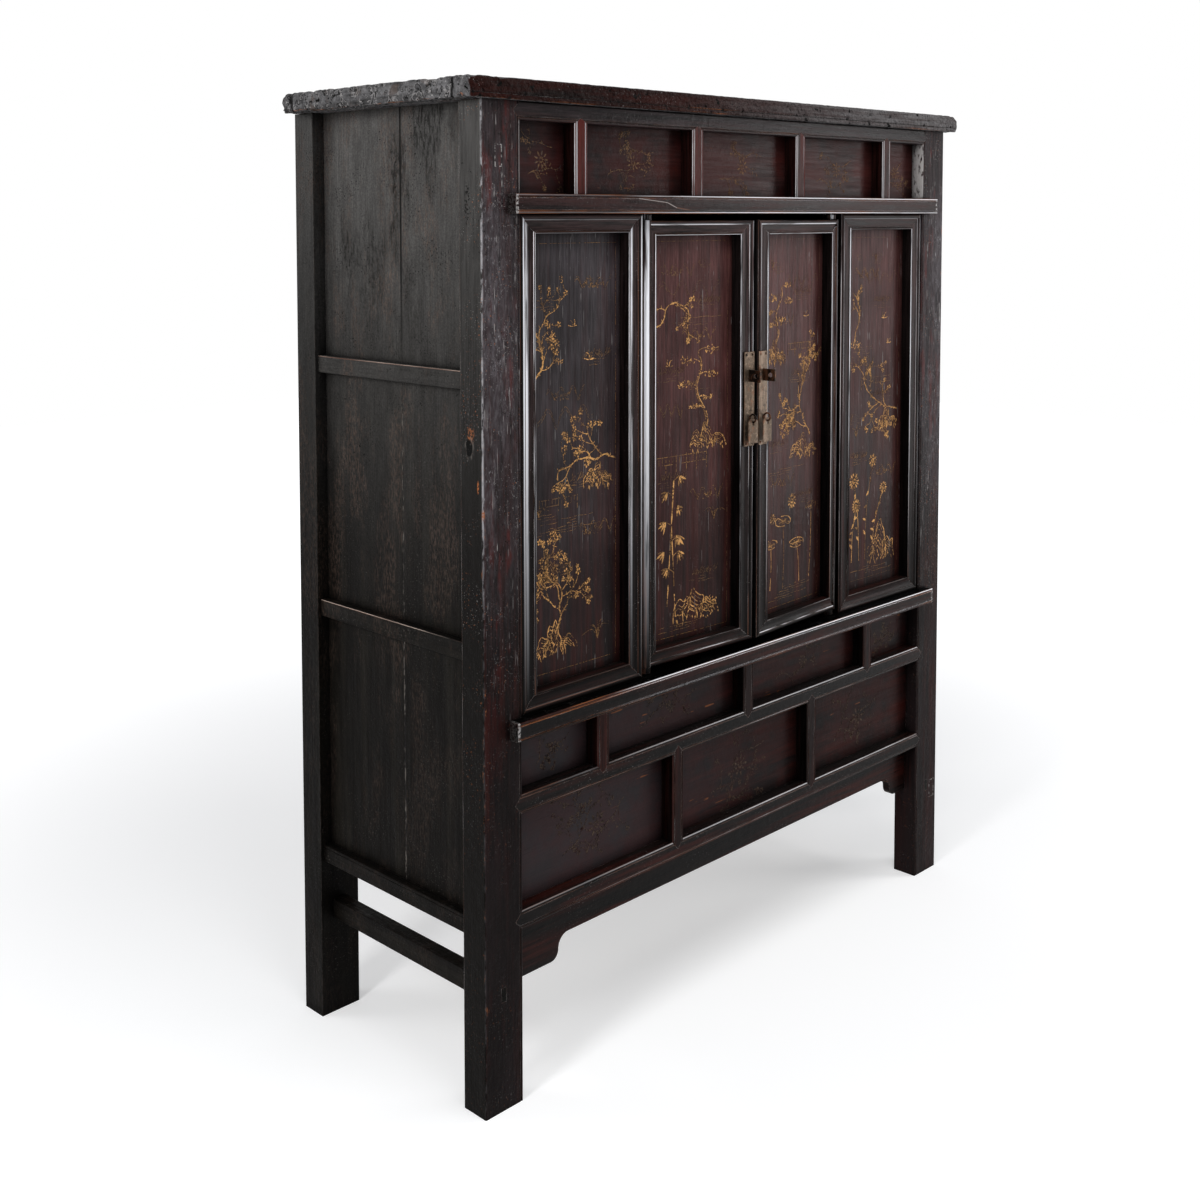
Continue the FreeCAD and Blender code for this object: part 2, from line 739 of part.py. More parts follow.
def left_fixed_leaf():
    """The fixed leaf between the left post and the left door, held by tongues in the rails."""
    x_ends = (-leaf_outer, -leaf_inner)
    z_ends = (lower_rail_top, upper_rail_bottom)
    widths = (leaf_stile_width, leaf_stile_width)
    left_field, right_field, *rail_fields = mitre_fields(x_ends, z_ends, widths, leaf_rail_height)
    rails, tenons = frame_rails(x_ends, z_ends, widths, leaf_rail_height, rail_fields)
    run = Vector(0, 0, z_ends[1] - z_ends[0])
    left_at = upright_section(x_ends[0], leaf_setback, z_ends[0])
    right_at = upright_section(x_ends[1] - leaf_stile_width, leaf_setback, z_ends[0])
    left = leaf_bar(left_at, run, leaf_stile_width, leaf_outer_bead_share, leaf_inner_bead_share)
    right = leaf_bar(right_at, run, leaf_stile_width, leaf_inner_bead_share, leaf_outer_bead_share)
    stiles = [left.common(left_field), right.common(right_field)]
    panel = leaf_panel(x_ends[0] + leaf_stile_width, x_ends[1] - leaf_stile_width,
                       z_ends[0] + leaf_rail_height, z_ends[1] - leaf_rail_height)
    tongue_front = leaf_setback + (leaf_thickness - leaf_tongue_thickness) / 2
    tongues = [block(x_ends[0] + leaf_stile_width, x_ends[1] - leaf_stile_width,
                     tongue_front, tongue_front + leaf_tongue_thickness, low, high)
               for low, high in ((z_ends[0] - leaf_tongue_down, z_ends[0] + overrun),
                                 (z_ends[1] - overrun, z_ends[1] + leaf_tongue_up))]
    rails = [rail.fuse([tenon, tongue]).removeSplitter() for rail, tenon, tongue in zip(rails, tenons, tongues)]
    return {
        "stiles": cut_each(stiles, tenons + [panel]),
        "rails": cut_each(rails, [panel]),
        "panel": [panel],
    }


def pintle(z_shoulder, gap, direction):
    """The round post at an end of the hinge stile, and the pin on it that turns in the rail's socket.

    gap is the height between the stile's end and the rail."""
    centre = Vector(-pivot_x, pivot_y, z_shoulder)
    along = Vector(0, 0, direction)
    post = Part.makeCylinder(pivot_post_radius, gap - pivot_post_gap, centre, along)
    pin = Part.makeCylinder(pintle_radius, gap + pintle_length, centre, along)
    return post.fuse(pin).removeSplitter()


def pintle_sockets():
    """What the sockets of the left door take out of the rails."""
    radius = pintle_radius + pintle_clearance
    depth = pintle_length + pintle_end_gap
    low = Part.makeCylinder(radius, depth + overrun, Vector(-pivot_x, pivot_y, lower_rail_top - depth))
    high = Part.makeCylinder(radius, depth + overrun, Vector(-pivot_x, pivot_y, upper_rail_bottom - overrun))
    return [low, high]


def left_door():
    """The left door as it stands shut: two stiles, two rails, the panel and the battens behind it."""
    x_ends = (-door_outer, -door_free)
    z_ends = (door_bottom, door_top)
    widths = (hinge_stile_width, meeting_stile_width)
    hinge_field, meeting_field, *rail_fields = mitre_fields(x_ends, z_ends, widths, door_rail_width)
    rails, tenons = frame_rails(x_ends, z_ends, widths, door_rail_width, rail_fields)
    # The half round runs from end to end of the hinge stile, so the rails stop at its inner side.
    round_edge = block(x_ends[0], x_ends[0] + hinge_radius, leaf_setback, leaf_setback + leaf_thickness, *z_ends)
    hinge = hinge_bar(x_ends[0], *z_ends).common(hinge_field.fuse(round_edge).removeSplitter())
    meeting_at = upright_section(x_ends[1] - meeting_stile_width, leaf_setback, z_ends[0])
    meeting = leaf_bar(meeting_at, Vector(0, 0, z_ends[1] - z_ends[0]), meeting_stile_width,
                       leaf_inner_bead_share, leaf_outer_bead_share).common(meeting_field)
    rails = [rail.cut(round_edge).fuse(tenon).removeSplitter() for rail, tenon in zip(rails, tenons)]
    pintles = [pintle(door_bottom, door_bottom_gap, -1), pintle(door_top, door_top_gap, 1)]
    hinge = hinge.fuse(pintles).removeSplitter()
    inner_low = x_ends[0] + hinge_stile_width
    inner_high = x_ends[1] - meeting_stile_width
    panel = leaf_panel(inner_low, inner_high, door_bottom + door_rail_width, door_top - door_rail_width)
    batten_front = leaf_setback + leaf_panel_recess + leaf_panel_thickness
    middle = (door_bottom + door_top) / 2
    battens = [block(inner_low - batten_tenon, inner_high + batten_tenon,
                     batten_front, batten_front + batten_thickness,
                     height - batten_height / 2, height + batten_height / 2)
               for height in (middle - batten_offset, middle + batten_offset)]
    inside = [panel] + battens
    return {
        "hinge_stile": [hinge.cut(tenons + inside)],
        "meeting_stile": [meeting.cut(tenons + inside)],
        "rails": cut_each(rails, inside),
        "panel": [panel],
        "battens": battens,
    }


def nail(x, z):
    """A short nail with a low domed head, driven through the plate into the stile."""
    def at(radius, deep):
        return Vector(x + radius, plate_front + deep, z)

    curve = (nail_head_radius ** 2 + nail_head_height ** 2) / (2 * nail_head_height)
    half_height = curve - nail_head_height - math.sqrt(curve ** 2 - (nail_head_radius / 2) ** 2)
    outline = Part.Wire([
        arc(at(0, -nail_head_height), at(nail_head_radius / 2, half_height), at(nail_head_radius, 0)),
        line(at(nail_head_radius, 0), at(nail_shank_radius, 0)),
        line(at(nail_shank_radius, 0), at(nail_shank_radius, nail_length)),
        line(at(nail_shank_radius, nail_length), at(0, nail_length)),
        line(at(0, nail_length), at(0, -nail_head_height)),
    ])
    return Part.Face(outline).revolve(at(0, 0), Vector(0, 1, 0), 360)


def left_brass():
    """The brass on the left door's meeting stile: plate, lug, staple and nails."""
    x_middle = -plate_middle
    plate = block(x_middle - plate_width / 2, x_middle + plate_width / 2, plate_front, leaf_setback,
                  plate_bottom, plate_top)
    lug_middle = lug_top - lug_height / 2
    half_lug = lug_thickness / 2
    lug = block(x_middle - half_lug, x_middle + half_lug, plate_front - lug_reach, plate_front,
                lug_top - lug_height, lug_top)
    hole = Part.makeCylinder(lug_hole_radius, lug_thickness + 2 * overrun,
                             Vector(x_middle - half_lug - overrun, plate_front - lug_reach * lug_hole_share,
                                    lug_middle), Vector(1, 0, 0))
    tang = block(x_middle - half_lug, x_middle + half_lug, plate_front, plate_front + lug_tang_length,
                 lug_middle - lug_tang_height / 2, lug_middle + lug_tang_height / 2)
    lug = lug.cut(hole).fuse(tang).removeSplitter()
    ring = Part.makeTorus(staple_radius, staple_wire_radius, Vector(x_middle, staple_y, staple_height),
                          Vector(1, 0, 0))
    shank = Part.makeCylinder(staple_shank_radius, staple_standoff - staple_radius + staple_shank_length,
                              Vector(x_middle, staple_y + staple_radius, staple_height), Vector(0, 1, 0))
    staple = ring.fuse(shank).removeSplitter()
    nails = []
    for x in (x_middle - plate_width / 2 + nail_inset, x_middle + plate_width / 2 - nail_inset):
        for z in (plate_bottom + nail_inset, plate_top - nail_inset):
            nails.append(nail(x, z))
    return plate, lug, [staple] + nails


def left_pull():
    """The plate that hangs in the left staple, its upper corners cut off and a slot below its bridge."""
    x_middle = -plate_middle
    top = pull_pivot_z + pull_bridge / 2
    half = pull_width / 2
    y_front = staple_y - pull_thickness / 2

    def at(x, z):
        return Vector(x_middle + x, y_front, z)

    outline = [at(-half, top - pull_height), at(half, top - pull_height), at(half, top - pull_corner),
               at(half - pull_corner, top), at(pull_corner - half, top), at(-half, top - pull_corner)]
    slot_top = top - pull_bridge
    slot = block(x_middle - pull_slot_width / 2, x_middle + pull_slot_width / 2, y_front - overrun,
                 y_front + pull_thickness + overrun, slot_top - pull_slot_height, slot_top)
    return prism(outline, pull_thickness).cut(slot)


def floor_pieces(posts):
    """The joists, the fixed boards on them and the two loose boards over the well."""
    joist_bottom = joist_top - joist_height
    joists = []
    for offset in (joist_inner_offset, joist_outer_offset):
        joist = block(offset - joist_width / 2, offset + joist_width / 2, rail_depth, back_frame_front,
                      joist_bottom, joist_top)
        tenon = block(offset - joist_width / 2 + tenon_cheek, offset + joist_width / 2 - tenon_cheek,
                      rail_depth - joist_housing, back_frame_front + joist_housing,
                      lower_rail_bottom + relief, joist_top - relief)
        joists += both_sides(joist.fuse(tenon).removeSplitter())
    joists += both_sides(side_ledger(joist_top, joist_height))
    edges = ((-side_panel_inner, -joist_outer_offset), (-joist_inner_offset, joist_inner_offset),
             (joist_outer_offset, side_panel_inner))
    boards = [block(x_low, x_high, rail_depth, back_frame_front, joist_top, floor_top).cut(posts)
              for x_low, x_high in edges]
    lid = block(-joist_outer_offset + lid_clearance, -joist_inner_offset - lid_clearance,
                rail_depth + lid_clearance, back_frame_front - lid_clearance,
                joist_top + lid_seat_gap, floor_top + lid_seat_gap)
    finger_hole = Part.makeCylinder(lid_finger_hole_radius, floor_board_thickness + 2 * overrun,
                                    Vector(-(joist_outer_offset + joist_inner_offset) / 2,
                                           rail_depth + lid_finger_hole_inset, joist_top - overrun))
    return joists, boards, lid.cut(finger_hole)


def side_ledger(top, height):
    """A bearer along the inside of the left side, tenoned between the two posts."""
    bar = block(-side_panel_inner, -side_panel_inner + ledger_width, post_depth, back_post_front,
                top - height, top)
    tenon = block(-side_panel_inner + tenon_cheek, -side_panel_inner + ledger_width - tenon_cheek,
                  post_depth - ledger_tenon, back_post_front + ledger_tenon,
                  top - height + tenon_cheek, top - tenon_cheek)
    return bar.fuse(tenon).removeSplitter()


def well_pieces(posts):
    """The boards of the well's bottom and the ledger that carries their front ends. posts are cut out."""
    ledger = block(-post_inner, post_inner, rail_depth, rail_depth + well_ledger_width,
                   well_board_bottom - well_ledger_height, well_board_bottom)
    width = 2 * side_rail_inner / well_board_count
    boards = []
    for index in range(well_board_count):
        x_low = -side_rail_inner + index * width
        boards.append(block(x_low, x_low + width, rail_depth, back_panel_front,
                            well_board_bottom, bottom_rail_top).cut(posts))
    return ledger, boards


def shelf_pieces(posts):
    """The shelf boards, their side bearers and the rail under their front edge."""
    rail = block(-side_panel_inner + ledger_width, side_panel_inner - ledger_width,
                 shelf_setback, shelf_setback + shelf_rail_width, bearer_top - bearer_height, bearer_top)
    tenon = block(-side_panel_inner + tenon_cheek, side_panel_inner - tenon_cheek,
                  shelf_setback + tenon_cheek, shelf_setback + shelf_rail_width - tenon_cheek,
                  bearer_top - bearer_height + tenon_cheek, bearer_top - tenon_cheek)
    rail = rail.fuse(tenon).removeSplitter()
    bearers = [bearer.cut(rail) for bearer in both_sides(side_ledger(bearer_top, bearer_height))]
    width = (back_panel_front - shelf_setback) / shelf_board_count
    boards = []
    for index in range(shelf_board_count):
        front = shelf_setback + index * width
        boards.append(block(-side_panel_inner, side_panel_inner, front, front + width,
                            bearer_top, shelf_top).cut(posts))
    return [rail] + bearers, boards


def swung(shapes, side, angle):
    """Door pieces turned outwards about their pivot. side is -1 on the left and 1 on the right."""
    turned = []
    for shape in shapes:
        copy = shape.copy()
        copy.rotate(Vector(side * pivot_x, pivot_y, 0), Vector(0, 0, side), angle)
        turned.append(copy)
    return turned


def cut_each(shapes, tools):
    return [shape.cut(tools) for shape in shapes]


def carcass_nodes():
    """All that stands still, with each mortise and groove cut to what sits in it."""
    rails = front_rails()
    uprights = front_uprights()
    panels = front_panels()
    board = apron()
    side_rails = left_side_rails()
    stretcher = left_stretcher()
    side_boards = left_side_boards()
    top = top_pieces()
    back_rails, muntins = back_frame()
    back = back_panels()
    leaf = left_fixed_leaf()
    plain_posts = both_sides(left_front_post()) + both_sides(left_back_post())
    joists, floor_boards, lid = floor_pieces(plain_posts)
    well_ledger, well_boards = well_pieces(plain_posts + muntins)
    bearers, shelf_boards = shelf_pieces(plain_posts + muntins)
    points_in_posts, points_in_rails = front_points()

    all_uprights = sum(uprights.values(), [])
    all_panels = sum(panels.values(), [])
    leaf_all = leaf["stiles"] + leaf["rails"] + leaf["panel"]
    leaves = leaf_all + [mirrored(piece) for piece in leaf_all]
    sockets = pintle_sockets()
    sockets += [mirrored(socket) for socket in sockets]
    left_side = side_rails + [stretcher] + side_boards
    sides = left_side + [mirrored(piece) for piece in left_side]
    into_posts = list(rails.values()) + all_panels + [board] + sides + back_rails + back + joists + bearers
    posts = cut_each(plain_posts, into_posts + points_in_posts)

    into_rails = all_uprights + points_in_rails + all_panels + [board] + leaves + sockets + joists
    nodes = {name: [rail.cut(into_rails)] for name, rail in rails.items()}
    for name, row in uprights.items():
        nodes[name] = cut_each(row, all_panels)
    nodes.update(panels)
    nodes["apron"] = [board]
    corners = ("front_left", "front_right", "back_left", "back_right")
    for corner, post in zip(corners, posts):
        nodes["post_" + corner] = [post]

    into_top = plain_posts + top["ends"] + top["boards"] + top["battens"] + sides
    nodes["top_front_rail"] = [top_front_rail().cut(into_top)]
    nodes["top_back_rail"] = [top_back_rail().cut(into_top)]
    nodes["top_ends"] = cut_each(top["ends"], plain_posts + top["boards"] + sides)
    nodes["top_boards"] = top["boards"]
    nodes["top_battens"] = top["battens"]

    cut_side_rails = cut_each(side_rails, side_boards)
    for side, place in (("left", lambda shape: shape), ("right", mirrored)):
        nodes[side + "_side_rails"] = [place(rail) for rail in cut_side_rails]
        nodes[side + "_side_panels"] = [place(panel) for panel in side_boards]
        nodes[side + "_leaf_stiles"] = [place(stile) for stile in leaf["stiles"]]
        nodes[side + "_leaf_rails"] = [place(rail) for rail in leaf["rails"]]
        nodes[side + "_leaf_panel"] = [place(panel) for panel in leaf["panel"]]
        nodes[side + "_lid"] = [place(lid)]
    nodes["stretchers"] = both_sides(stretcher)

    nodes["back_frame"] = cut_each(back_rails, muntins + back + joists) + cut_each(muntins, back)
    nodes["back_panels"] = back
    nodes["floor_joists"] = joists
    nodes["floor_boards"] = floor_boards
    nodes["well_boards"] = well_boards
    nodes["inner_bearers"] = [well_ledger] + bearers
    nodes["shelf_boards"] = shelf_boards
    return nodes


def door_nodes():
    """Both doors with their brass, each swung a little way open, as they stand."""
    door = left_door()
    plate, lug, fixings = left_brass()
    brass = [lug] + fixings
    door["meeting_stile"] = cut_each(door["meeting_stile"], brass)
    parts = {"door_" + name: pieces for name, pieces in door.items()}
    parts["lock_plate"] = [plate.cut(brass)]
    parts["lock_lug"] = [lug]
    parts["plate_fixings"] = fixings
    parts["pull"] = [left_pull()]
    nodes = {}
    for name, pieces in parts.items():
        nodes["left_" + name] = swung(pieces, -1, left_door_ajar)
        nodes["right_" + name] = swung([mirrored(piece) for piece in pieces], 1, right_door_ajar)
    return nodes


def depth_shift(nodes):
    """How far all pieces move along Y to put the origin under the middle of the whole."""
    whole = Part.makeCompound([piece for pieces in nodes.values() for piece in pieces])
    box = whole.optimalBoundingBox(False, False)
    return -(box.YMin + box.YMax) / 2


cabinet = carcass_nodes()
cabinet.update(door_nodes())
shift = depth_shift(cabinet)
os.makedirs("parts", exist_ok=True)
for node_name, node_pieces in cabinet.items():
    node = node_pieces[0] if len(node_pieces) == 1 else Part.makeCompound(node_pieces)
    node.translate(Vector(0, shift, 0))
    node.exportStep(os.path.join("parts", node_name + ".step"))
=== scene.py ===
import math
import random

import bmesh
import bpy
from mathutils import Matrix, Vector, noise


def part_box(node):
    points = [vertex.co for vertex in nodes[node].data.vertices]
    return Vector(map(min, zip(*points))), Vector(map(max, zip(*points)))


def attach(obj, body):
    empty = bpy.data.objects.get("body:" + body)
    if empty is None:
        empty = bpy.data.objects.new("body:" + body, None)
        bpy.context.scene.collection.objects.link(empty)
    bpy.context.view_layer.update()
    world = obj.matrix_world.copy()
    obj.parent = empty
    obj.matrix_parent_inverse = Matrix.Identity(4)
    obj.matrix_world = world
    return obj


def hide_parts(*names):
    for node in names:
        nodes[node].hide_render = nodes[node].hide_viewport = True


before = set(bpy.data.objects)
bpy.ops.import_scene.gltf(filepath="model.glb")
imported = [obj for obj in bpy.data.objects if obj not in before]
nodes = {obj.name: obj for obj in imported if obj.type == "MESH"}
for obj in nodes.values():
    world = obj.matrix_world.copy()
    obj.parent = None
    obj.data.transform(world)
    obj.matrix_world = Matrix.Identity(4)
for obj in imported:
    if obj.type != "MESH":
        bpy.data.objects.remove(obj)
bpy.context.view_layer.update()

# Camera, as worked out from the edges in the photograph, in metres and degrees
camera_place = Vector((-2.4747, -2.17258, 1.6144))
camera_turn = 44.430
camera_dip = 3.39
camera_roll = -0.156
camera_lens = 44.661
camera_sensor = 36
camera_shift_x = 0.0430
camera_shift_y = -0.2443

# Directions
to_left = Vector((-1, 0, 0))
to_right = Vector((1, 0, 0))
to_front = Vector((0, -1, 0))
upwards = Vector((0, 0, 1))
downwards = Vector((0, 0, -1))

# How noise is stretched: along the grain, into upright patches, into thin scratches
along_x = Vector((0.05, 1, 1))
along_y = Vector((1, 0.05, 1))
along_z = Vector((1, 1, 0.05))
patch_stretch = (1, 1, 0.3)
scratch_stretch = (260, 260, 9)

# Colours, linear
black_lacquer = (0.0046, 0.0034, 0.0031, 1)
oxblood = (0.022, 0.0052, 0.0038, 1)
red_brown = (0.080, 0.0095, 0.0065, 1)
rubbed_edge = (0.11, 0.05, 0.032, 1)
orange_edge = (0.30, 0.10, 0.035, 1)
pale_scratch = (0.36, 0.34, 0.33, 1)
# Painted highlights, the brightest first, and a painted grey sheen
bright_painted_highlight = (0.92, 0.92, 0.95, 1)
edge_painted_highlight = (0.56, 0.55, 0.56, 1)
line_painted_highlight = (0.30, 0.29, 0.30, 1)
grey_painted_sheen = (0.100, 0.088, 0.095, 1)
panel_dark = (0.0105, 0.0066, 0.0064, 1)
panel_red = (0.030, 0.0078, 0.0062, 1)
# Panel tones; the grey and the plum make the panels' painted sheen, which grows with height, and the grey
# also greys the lower rows to the left
panel_grey = (0.043, 0.037, 0.040, 1)
panel_plum_sheen = (0.078, 0.0310, 0.0290, 1)
side_dark = (0.0034, 0.0028, 0.0023, 1)
side_light = (0.0082, 0.0070, 0.0056, 1)
side_brown = (0.085, 0.056, 0.043, 1)
# A painted grey sheen on the sides and the posts' outer sides, lighter higher up
side_grey_sheen = (0.070, 0.067, 0.064, 1)
side_pale = (0.14, 0.125, 0.11, 1)
worn_pale = (0.62, 0.50, 0.42, 1)
# Painted sheens: grey on the front, plum low on the posts and on the stiles, lighter than the lacquer
front_grey_sheen = (0.024, 0.0165, 0.0175, 1)
low_plum_sheen = (0.0138, 0.0092, 0.0096, 1)
stile_plum_sheen = (0.070, 0.044, 0.043, 1)
upright_red = (0.040, 0.0105, 0.0085, 1)
top_dark = (0.030, 0.028, 0.028, 1)
top_light = (0.115, 0.112, 0.114, 1)
top_chip = (0.42, 0.40, 0.39, 1)
# A painted grey sheen on the right half of the top's front
top_grey_sheen = (0.15, 0.142, 0.142, 1)
# Black of pits and joints, also painted shade on the slopes of the mouldings
pit_and_shade_black = (0.0020, 0.0017, 0.0015, 1)
softwood_dark = (0.135, 0.080, 0.043, 1)
softwood_light = (0.23, 0.145, 0.078, 1)
brass_olive = (0.088, 0.064, 0.046, 1)
brass_brown = (0.175, 0.126, 0.092, 1)
brass_rust = (0.13, 0.055, 0.028, 1)
brass_black = (0.008, 0.006, 0.005, 1)
gold_bright = (0.80, 0.42, 0.145, 1)
gold_dull = (0.34, 0.18, 0.070, 1)
gold_faint = (0.200, 0.112, 0.055, 1)
gold_ghost = (0.092, 0.064, 0.046, 1)
floor_colour = (0.72, 0.72, 0.72, 1)
white = (1, 1, 1, 1)
world_fill = (0.30, 0.31, 0.33, 1)

# How far wear reaches from an edge, and dirt and painted shade from a corner, and how high the bumps are, in
# metres
edge_wear = 0.0028
brass_edge_wear = 0.0012
corner_dirt_and_shade = 0.018
stile_corner_dirt_and_shade = 0.012
panel_corner_shade = 0.045
side_corner_shade = 0.06
brass_corner_dirt = 0.004
bump_height = 0.002

# Marks at certain places, in metres. Tenons and chips are given by their middle and reach.
outer_side = 0.7535
post_arris = Vector((0.7515, 0.2498, 0))
tenon_marks = (((-0.7130, 1.725), (0.0075, 0.019)), ((0.7335, 0.203), (0.0095, 0.021)))
tenon_line = 0.0015
knot_place = Vector((-outer_side, -0.2170, 1.211))
knot_reach = Vector((0.02, 0.0070, 0.012))
knot_rise = Vector((0, -0.004, 0.024))
orange_chips = (((-outer_side, -0.2395, 1.144), (0.02, 0.003, 0.014)),
                ((-0.7520, -0.2510, 1.096), (0.004, 0.003, 0.011)))
flaked_place = Vector((-outer_side, -0.2150, 1.640))
flaked_reach = Vector((0.02, 0.0100, 0.050))
rail_crack = ((-0.372, 1.652), (-0.290, 1.645), (-0.262, 1.635), (-0.195, 1.627))
crack_width = 0.0015
crack_core_width = 0.0008
# Heights of painted highlight lines along the rails' arrises, and their half width
upper_rail_lines = (1.6568, 1.6256)
lower_rail_line = 0.7136
small_rail_lines = (0.5708, 0.3558)
line_half = 0.0013
end_joints = (-0.2239, 0.2492)
end_joint_half = 0.0050
board_joint = 0.0032
board_joint_half = 0.0040
joint_dots_half = 0.0030
side_rail_tops = (1.346, 0.857, 0.235)

# Broken lines along the outer arrises of the posts, bare orange wood low down and painted highlights higher
# up: tone, reach, level of the noise and heights
arris_lines = ((orange_edge, 0.006, 0.60, (0.0, 0.4)), (line_painted_highlight, 0.0028, 0.40, (0.80, 1.15)),
               (edge_painted_highlight, 0.0020, 0.46, (0.85, 1.20)))

# Worn lines along the side rails: half their width, tone, and the scale and levels of the noise
side_rail_wear = ((0.0034, rubbed_edge, 30, 0.34, 0.46), (0.0025, worn_pale, 22, 0.44, 0.54))

# Heights from and to which a tone changes, in metres
everywhere = (-1.0, 0.0)
post_grey_sheen_heights = (0.6, 1.5)
post_red_heights = (0.55, 1.0)
post_low_sheen_heights = (0.95, 0.55)
post_sheen_heights = (0.80, 1.20)
post_head_heights = (1.74, 1.58)
post_side_heights = (0.85, 2.15)
post_speck_heights = (0.5, 0.95)
post_scratch_heights = (0.60, 0.95)
bead_foot_heights = (1.655, 1.665)
bead_head_heights = (1.792, 1.784)
rail_sheen_heights = (0.5, 1.9)
door_rail_sheen_heights = (0.7, 3.0)
upper_rail_heights = (1.2, 1.3)
lower_rail_heights = (1.3, 1.2)
upright_heights = (0.5, 1.7)
upright_round_heights = (0.9, 1.6)
upright_right_heights = (0.6, 1.7)
stile_sheen_heights = (0.7, 2.0)
stile_highlight_heights = (0.70, 1.36)
leaf_rail_sheen_heights = (0.6, 2.4)
leaf_head_heights = (0.8, 1.4)
leaf_foot_heights = (1.4, 0.8)
tall_panel_heights = (0.6, 1.7)
low_panel_heights = (0.4, 3.4)
top_row_heights = (0.8, 1.6)
row_red_heights = (0.9, 1.6)
side_sheen_heights = (0.80, 1.98)
side_brown_heights = (0.3, 1.5)
side_stain_heights = (1.25, 1.62)
joint_heights = (1.30, 1.55)
joint_dot_heights = (1.40, 1.25)
top_crest_heights = (0.0, 0.5)

# Runs from left to right over which a tone changes, and distances off the middle, in metres
rail_highlight_run = (-0.5, 0.2)
small_line_run = (-0.60, 0.1)
upper_rim_run = (-0.45, 0.15)
upper_line_run = (-0.50, 0.0)
lower_line_run = (-0.46, -0.30)
lower_rim_run = (-0.52, -0.30)
leaf_highlight_run = (-0.3, 0.0)
plum_run = (-0.36, -0.30)
door_panel_run = (0.40, 0.0)
top_row_run = (-0.35, 0.3)
low_grey_run = (0.2, -0.5)
low_dark_run = (-0.65, 0.1)
top_sheen_run = (-0.35, 0.65)
post_sheen_reach = (0.685, 0.735)
post_side_reach = (0.7515, 0.7525)
bead_reach = (0.6645, 0.6632)
rail_end_reach = (0.684, 0.687)
door_reach = (0.332, 0.326)
side_rail_reach = (0.7445, 0.7452)

# Painted highlight lines on the slopes of the stiles that look left and right: from and to which turn, how
# bright
first_stile_highlight_shares = ((0.70, 0.93, 1.0), (0.02, 0.56, 1.0))
stile_highlight_shares = ((0.54, 0.94, 1.0), (0.26, 0.60, 1.0))
hinge_stile_highlight_shares = ((0.20, 0.70, 1.0), (0.34, 0.60, 0.4))

# Floor and lamps, in metres and watts. A lamp's name, place, target, width, height and power.
floor_half = 9
floor_glow = 0.42
floor_glow_reach = (1.2, 4.0)
lamps = (("top_lamp", (-0.6, -1.2, 3.4), (-0.1, -0.1, 1.2), 1.6, 1.6, 36),
         ("back_left_lamp", (-2.7, 2.3, 2.2), (-0.75, 0, 1.7), 1.2, 0.7, 25),
         ("left_lamp", (-3.5, -0.7, 1.75), (-0.7, -0.3, 1.3), 0.6, 2.0, 60),
         ("right_lamp", (2.5, -1.9, 1.25), (-0.2, -0.25, 1.2), 0.9, 1.7, 30),
         ("high_right_lamp", (2.4, -1.2, 2.9), (0, -0.25, 1.2), 0.9, 0.6, 10))


def plug(tree, node, inputs):
    """Sets a node's inputs, to values or to other nodes' outputs."""
    for name, value in inputs.items():
        if isinstance(value, bpy.types.NodeSocket):
            tree.links.new(value, node.inputs[name])
        else:
            node.inputs[name].default_value = value


def add(tree, kind, inputs, **settings):
    made = tree.nodes.new("ShaderNode" + kind)
    for name, value in settings.items():
        setattr(made, name, value)
    plug(tree, made, inputs)
    return made


def new_surface(name):
    """A new material: its node tree and its one surface shader."""
    material = bpy.data.materials.new(name)
    material.use_nodes = True
    tree = material.node_tree
    return material, tree, tree.nodes["Principled BSDF"]


def share(tree, value, low, high, to_low=0.0, to_high=1.0):
    """How far a value has come from low to high, eased and held between the two."""
    inputs = {0: value, 1: low, 2: high, 3: to_low, 4: to_high}
    return add(tree, "MapRange", inputs, interpolation_type="SMOOTHSTEP").outputs[0]


def maths(tree, operation, first, second=0.0):
    return add(tree, "Math", {0: first, 1: second}, operation=operation).outputs[0]


def mixed(tree, amount, first, second):
    return add(tree, "Mix", {0: amount, 6: first, 7: second}, data_type="RGBA").outputs[2]


def put(data):
    """A new object in the scene that shows this mesh, lamp or camera."""
    item = bpy.data.objects.new(data.name, data)
    bpy.context.scene.collection.objects.link(item)
    return item


